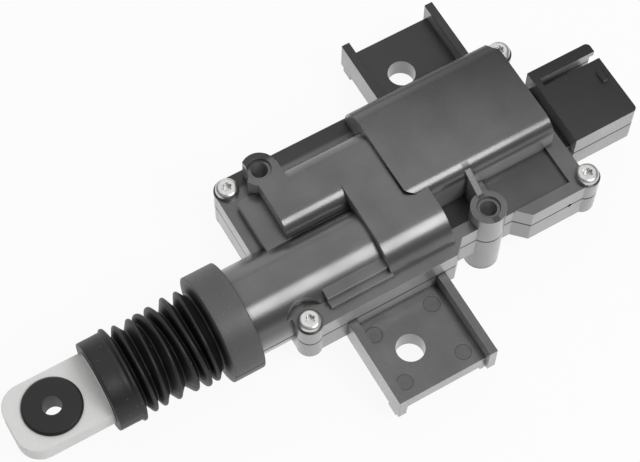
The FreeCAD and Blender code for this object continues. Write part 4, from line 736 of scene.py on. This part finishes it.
def boot_profile(shape, angle):
    """Outside and inside of the boot as one closed line of (x, r) at each angle."""
    crests = [lean(np.array(places) / MM_PER_M, angle) for places, radius in RIDGES]
    radii = [radius / MM_PER_M for places, radius in RIDGES]
    outside = [(x, shape.collar_radius - drop) for x, drop in LARGE_COLLAR] + NECK
    inside = []
    for index, (x, radius) in enumerate(zip(crests, radii)):
        outside += [(x + step, radius - drop) for step, drop in CREST]
        inside += [(x, radius - shape.wall * CREST_WALL)]
        if index + 1 < len(crests):
            middle = (x + crests[index + 1]) / 2
            outside += [(middle + VALLEY_HALF, shape.valley_radius + VALLEY_RISE),
                        (middle - VALLEY_HALF, shape.valley_radius + VALLEY_RISE)]
            inside += [(middle, shape.valley_radius - shape.wall)]
    outside += [(x, shape.small_radius - drop) for x, drop in SMALL_COLLAR]
    line = outside + PLUNGER_SEAT + inside[::-1] + TUBE_SEAT
    everywhere = np.zeros_like(angle)
    return np.array([[x + HOLE_X + everywhere, r + everywhere] for x, r in line]).swapaxes(1, 2)


def set_boot(shape, material):
    """Builds the ridged boot in the place of the plain one."""
    knots = boot_profile(shape, round_angles(BOOT_ANGLES))
    points, faces = turned_surface(through(knots, STEPS_A_KNOT), AXIS_Y, AXIS_Z)
    boot = new_piece("ribbed_boot", points, faces, material)
    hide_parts("boot")
    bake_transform(boot)


# One operator for each piece or group of like pieces

# Where the housing is darker and less glossy: bounds of (direction, from, to). The connector
# has a matte finish and the far side is darker; the far right corner, the recess floors, the
# deep pocket and the rib's top get painted shade.
PLUG = [(RIGHT, 0.0385, 0.0410)]
FAR_SIDE = [(FAR, 0.0188, 0.0200)]
FAR_CORNER = [(FAR_RIGHT, 0.0, 0.036)]
RECESSES = [(DOWN, -0.0150, -0.0146)]
POCKET = [(DOWN, -0.0140, -0.0130)]
RIB = [(RIGHT, 0.0110, 0.0114), (LEFT, -0.0131, -0.0129), (NEAR, 0.0040, 0.0050),
       (UP, 0.0188, 0.0196)]
PINS = [  # x, y and radius of the ejector pin marks in the near ear
    (-0.0240, -0.0252, 0.0020), (-0.0082, -0.0252, 0.0020), (-0.0083, -0.0392, 0.0019),
    (-0.0239, -0.0389, 0.0019)]
BASE_ROUGHER = 0.07  # how much rougher the base is than the cover


class ACTUATOR_OT_housing(bpy.types.Operator):
    """Gives both moulded halves their finish"""

    bl_idname = "actuator.housing"
    bl_label = "Finish the housing"

    def execute(self, context):
        look = context.scene.actuator_housing
        both = [(PLUG, look.plug_shade), (FAR_SIDE, look.far_shade)]
        cover_only = [(FAR_CORNER, look.fade), (RECESSES, look.recess_painted_shade),
                      (POCKET, look.pocket_painted_shade), (RIB, look.rib_painted_shade)]
        polish = {"edge": look.edge, "line": AXIS_Z, "coat": 0.95, "sides": look.painted_reflection_colour,
                  "IOR": 1.56, "Coat_IOR": 1.8, "Coat_Roughness": 0.22}
        dress("upper_housing", moulded_finish(
            "black_moulding_cover", look.colour, look.roughness, specks=0.14,
            matt=both + cover_only, crease_shade=0.8, **polish))
        dress("lower_housing", moulded_finish(
            "black_moulding_base", look.colour, look.roughness + BASE_ROUGHER, specks=0.10,
            pins=PINS, pin_colour=look.pin_colour, matt=both, crease_shade=0.7, **polish))
        return {"FINISHED"}


class ACTUATOR_OT_screws(bpy.types.Operator):
    """Gives the housing screws their zinc plating"""

    bl_idname = "actuator.screws"
    bl_label = "Finish the housing screws"

    def execute(self, context):
        look = context.scene.actuator_metal
        dress("housing_screws", metal_finish(
            "zinc_plating", look.zinc, roughness=0.34, rings=1800.0))
        return {"FINISHED"}


class ACTUATOR_OT_boot(bpy.types.Operator):
    """Builds the ribbed boot between the tube and the plunger"""

    bl_idname = "actuator.boot"
    bl_label = "Build the boot"

    def execute(self, context):
        shape = context.scene.actuator_boot
        rubber = rubber_finish(
            "boot_rubber_finish", shape.colour, line=AXIS_Z, specks=0.7,
            bloomed=(HOLE_X + BLOOM_START, HOLE_X + BLOOM_END, shape.collar_colour),
            fold_shade_reach=(shape.valley_radius, CREST_REACH))
        dress("boot", rubber)
        set_boot(shape, rubber)
        return {"FINISHED"}


class ACTUATOR_OT_plunger(bpy.types.Operator):
    """Gives the plunger, its nut and the rod grommet their finishes"""

    bl_idname = "actuator.plunger"
    bl_label = "Finish the plunger"

    def execute(self, context):
        look = context.scene.actuator_plunger
        dress("plunger", moulded_finish(
            "white_nylon_finish", look.nylon, roughness=0.34, edge=0.0004, drift=0.05,
            grain=1500.0, IOR=1.53, Subsurface_Weight=0.25,
            Subsurface_Radius=(0.004, 0.004, 0.0035), Subsurface_Scale=0.4))
        dress("drive_nut", moulded_finish(
            "nut_acetal", (0.56, 0.53, 0.44), roughness=0.4, edge=0.0002, drift=0.06))
        dress("rod_grommet", rubber_finish("grommet_rubber_finish", look.rubber, specks=0.08))
        return {"FINISHED"}


class ACTUATOR_OT_drive(bpy.types.Operator):
    """Gives the screw, its wheel, the bushes, washers and bumpers their finishes"""

    bl_idname = "actuator.drive"
    bl_label = "Finish the drive"

    def execute(self, context):
        look = context.scene.actuator_metal
        dress("jackscrew", metal_finish("rolled_screw", (0.56, 0.56, 0.57), roughness=0.25))
        dress("screw_gear", moulded_finish(
            "wheel_acetal", (0.70, 0.68, 0.60), roughness=0.38, edge=0.0002, drift=0.05))
        bronze = metal_finish("sintered_bronze_finish", look.bronze, roughness=0.45,
                              rings=2500.0)
        for node in ("front_bush", "rear_bush", "outboard_bush", "motor_front_bush",
                     "motor_rear_bush"):
            dress(node, bronze)
        washer = moulded_finish(
            "washer_plastic_finish", (0.60, 0.58, 0.50), roughness=0.45, edge=0.0001)
        for node in ("front_thrust_washer", "rear_thrust_washer"):
            dress(node, washer)
        bumper = rubber_finish("bumper_rubber_finish", (0.03, 0.03, 0.03), specks=0.1)
        for node in ("front_bumper", "rear_bumper"):
            dress(node, bumper)
        return {"FINISHED"}


class ACTUATOR_OT_clutch(bpy.types.Operator):
    """Gives the pinion and the clutch their finishes"""

    bl_idname = "actuator.clutch"
    bl_label = "Finish the clutch"

    def execute(self, context):
        dress("motor_pinion", metal_finish(
            "pinion_brass_finish", (0.66, 0.48, 0.22), roughness=0.28))
        dress("clutch_drum", metal_finish(
            "drum_steel_finish", (0.55, 0.55, 0.56), roughness=0.33))
        dress("clutch_hub", moulded_finish(
            "hub_nylon", (0.10, 0.10, 0.11), roughness=0.4, edge=0.0002))
        dress("clutch_shoes", rubber_finish("shoe_lining", (0.09, 0.055, 0.04), specks=0.1))
        return {"FINISHED"}


class ACTUATOR_OT_motor(bpy.types.Operator):
    """Gives the motor's pieces and the thermal cutout their finishes"""

    bl_idname = "actuator.motor"
    bl_label = "Finish the motor"

    def execute(self, context):
        dress("motor_can", metal_finish(
            "can_steel_finish", (0.60, 0.61, 0.62), roughness=0.36))
        dress("motor_end_cap", moulded_finish(
            "cap_nylon", (0.07, 0.07, 0.075), roughness=0.4, edge=0.0003))
        dress("motor_shaft", metal_finish(
            "ground_shaft", (0.62, 0.62, 0.63), roughness=0.2))
        dress("armature_core", metal_finish(
            "stack_steel", (0.36, 0.36, 0.37), roughness=0.42, rings=9000.0))
        dress("armature_windings", metal_finish(
            "enamelled_wire", (0.56, 0.22, 0.10), roughness=0.35, rings=2600.0,
            Coat_Weight=0.5))
        dress("commutator", metal_finish(
            "commutator_copper_finish", (0.68, 0.36, 0.22), roughness=0.25))
        dress("field_magnets", moulded_finish(
            "ferrite_finish", (0.09, 0.09, 0.095), roughness=0.5, edge=0.0002))
        dress("motor_brushes", moulded_finish(
            "carbon_finish", (0.05, 0.05, 0.05), roughness=0.55, edge=0.0001))
        dress("thermal_cutout", moulded_finish(
            "cutout_dip", (0.36, 0.09, 0.04), roughness=0.35, edge=0.0004))
        return {"FINISHED"}


class ACTUATOR_OT_contacts(bpy.types.Operator):
    """Gives the connector's blades their tin plating"""

    bl_idname = "actuator.contacts"
    bl_label = "Finish the contact blades"

    def execute(self, context):
        dress("contact_blades", metal_finish(
            "tin_plating", (0.72, 0.70, 0.64), roughness=0.3))
        return {"FINISHED"}


# The stage

WHITE = (1.0, 1.0, 1.0, 1.0)
PAPER = (0.86, 0.86, 0.86, 1.0)
FLOOR_REACH = 3.0
SHADOW_KEPT = 0.08  # share of the floor's own shade that stays in the seen white
HORIZON, OVERHEAD = 0.01, 0.12  # heights of a direction between which the sky dims
LAMPS = [  # name, the property with its power, place, and length of its edge
    ("key_lamp", "key", (0.14, -0.32, 0.50), 0.28),
    ("fill_lamp", "fill", (0.06, 0.21, 0.50), 0.64),
    ("rim_lamp", "rim", (0.14, 0.56, 0.20), 0.30),
]
LAMP_AIM = (0.0, 0.0, 0.01)
CAMERA_PLACE = (-0.12888, -0.17422, 0.42326)
CAMERA_RIGHT = (0.86475, -0.50214, 0.00798)
CAMERA_UP = (0.44618, 0.77549, 0.4467)
CAMERA_BACK = (-0.23049, -0.38273, 0.89465)
SENSOR_MM = 36.0
CLIP_START = 0.01


def stand(name, data, right, up, back, place):
    """A lamp or camera at a place, with its own X, Y and Z along three directions."""
    made = bpy.data.objects.new(name, data)
    pose = np.eye(4)
    pose[:3, :3] = np.column_stack([right, up, back])
    pose[:3, 3] = place
    made.matrix_world = Matrix(pose.tolist())
    bpy.context.scene.collection.objects.link(made)
    return made


def lamp(name, power, place, size):
    """A square soft lamp at a place, turned so that it faces the middle of the object."""
    data = bpy.data.lights.new(name, "AREA")
    data.size = size
    data.energy = power
    back = np.array(place) - np.array(LAMP_AIM)
    back /= np.linalg.norm(back)
    side = np.cross(UP, back)
    side /= np.linalg.norm(side)
    stand(name, data, side, np.cross(back, side), back, place)


def white_when_seen(made, shade):
    """The given shade lights the scene; the camera, mirrors and glass see plain white,
    with a small share of the shade for the object's shadow."""
    path = made.add("ShaderNodeLightPath").outputs
    seen = made.math("MAXIMUM", path["Is Camera Ray"], path["Is Glossy Ray"])
    seen = made.math("MAXIMUM", seen, path["Is Transmission Ray"])
    white = made.add("ShaderNodeEmission")
    white.inputs["Strength"].default_value = 1.0
    pick = made.add("ShaderNodeMixShader")
    made.join(made.times(seen, 1.0 - SHADOW_KEPT), pick.inputs[0])
    made.join(shade, pick.inputs[1])
    made.join(white.outputs[0], pick.inputs[2])
    return pick.outputs[0]


def set_floor():
    """A plain pale floor under the lowest point of the object."""
    paper = bpy.data.materials.new("floor_paper")
    paper.use_nodes = True
    made = Tree(paper.node_tree)
    shader = paper.node_tree.nodes["Principled BSDF"]
    output = paper.node_tree.nodes["Material Output"]
    tone = made.group("tone_drift", Colour=PAPER, Strength=0.02, Scale=8.0)
    made.join(tone["Colour"], shader.inputs["Base Color"])
    shader.inputs["Roughness"].default_value = 0.9
    made.join(white_when_seen(made, shader.outputs[0]), output.inputs["Surface"])
    square = np.array([(-1.0, -1.0), (1.0, -1.0), (1.0, 1.0), (-1.0, 1.0)]) * FLOOR_REACH
    corners = np.column_stack([square, np.full(4, CAD_BOX[0][2])])
    new_piece("floor", corners, np.array([[0, 1, 2, 3]]), paper, smooth=False)


def set_sky(scene, overhead):
    """White at the horizon, like the floor, and dim overhead, but white where it is seen."""
    world = bpy.data.worlds.new("pale_surroundings")
    world.use_nodes = True
    scene.world = world
    made = Tree(world.node_tree)
    back = world.node_tree.nodes["Background"].inputs
    back["Color"].default_value = WHITE
    direction = made.parts(made.add("ShaderNodeTexCoord").outputs["Generated"])
    rise = made.ramp(direction["Z"], HORIZON, OVERHEAD, 1.0, overhead)
    seen = made.add("ShaderNodeLightPath").outputs["Is Camera Ray"]
    made.join(made.math("MAXIMUM", rise, seen), back["Strength"])


class ACTUATOR_OT_stage(bpy.types.Operator):
    """Sets the floor, the pale surroundings, the lamps and the camera"""

    bl_idname = "actuator.stage"
    bl_label = "Set the stage"

    def execute(self, context):
        scene = context.scene
        look = scene.actuator_stage
        scene.view_settings.view_transform = "Standard"
        set_floor()
        set_sky(scene, look.sky)
        for name, power, place, size in LAMPS:
            lamp(name, getattr(look, power), place, size)
        data = bpy.data.cameras.new("photo_camera")
        data.lens = look.lens
        data.sensor_width = SENSOR_MM
        data.clip_start = CLIP_START
        scene.camera = stand("photo_camera", data, CAMERA_RIGHT, CAMERA_UP, CAMERA_BACK,
                             CAMERA_PLACE)
        return {"FINISHED"}


LOOKS = (
    ("actuator_housing", HousingLook), ("actuator_boot", BootShape),
    ("actuator_plunger", PlungerLook), ("actuator_metal", MetalLook),
    ("actuator_stage", StageLook),
)
OPERATORS = (
    ACTUATOR_OT_stage, ACTUATOR_OT_housing, ACTUATOR_OT_screws, ACTUATOR_OT_boot,
    ACTUATOR_OT_plunger, ACTUATOR_OT_drive, ACTUATOR_OT_clutch, ACTUATOR_OT_motor,
    ACTUATOR_OT_contacts,
)


class ACTUATOR_PT_panel(bpy.types.Panel):
    """Lists the looks and the operators"""

    bl_idname = "ACTUATOR_PT_panel"
    bl_label = "Door latch actuator"
    bl_space_type = "VIEW_3D"
    bl_region_type = "UI"
    bl_category = "Actuator"

    def draw(self, context):
        for operator in OPERATORS:
            self.layout.operator(operator.bl_idname)
        for word, look in LOOKS:
            box = self.layout.box()
            box.label(text=look.__doc__)
            for item in look.__annotations__:
                box.prop(getattr(context.scene, word), item)


def register():
    for word, look in LOOKS:
        bpy.utils.register_class(look)
        setattr(bpy.types.Scene, word, bpy.props.PointerProperty(type=look))
    for item in OPERATORS + (ACTUATOR_PT_panel,):
        bpy.utils.register_class(item)


def unregister():
    for item in (ACTUATOR_PT_panel,) + OPERATORS[::-1]:
        bpy.utils.unregister_class(item)
    for word, look in LOOKS[::-1]:
        delattr(bpy.types.Scene, word)
        bpy.utils.unregister_class(look)


def main():
    register()
    bpy.ops.actuator.stage()
    bpy.ops.actuator.housing()
    bpy.ops.actuator.screws()
    bpy.ops.actuator.boot()
    bpy.ops.actuator.plunger()
    bpy.ops.actuator.drive()
    bpy.ops.actuator.clutch()
    bpy.ops.actuator.motor()
    bpy.ops.actuator.contacts()


if __name__ == "__main__":
    main()
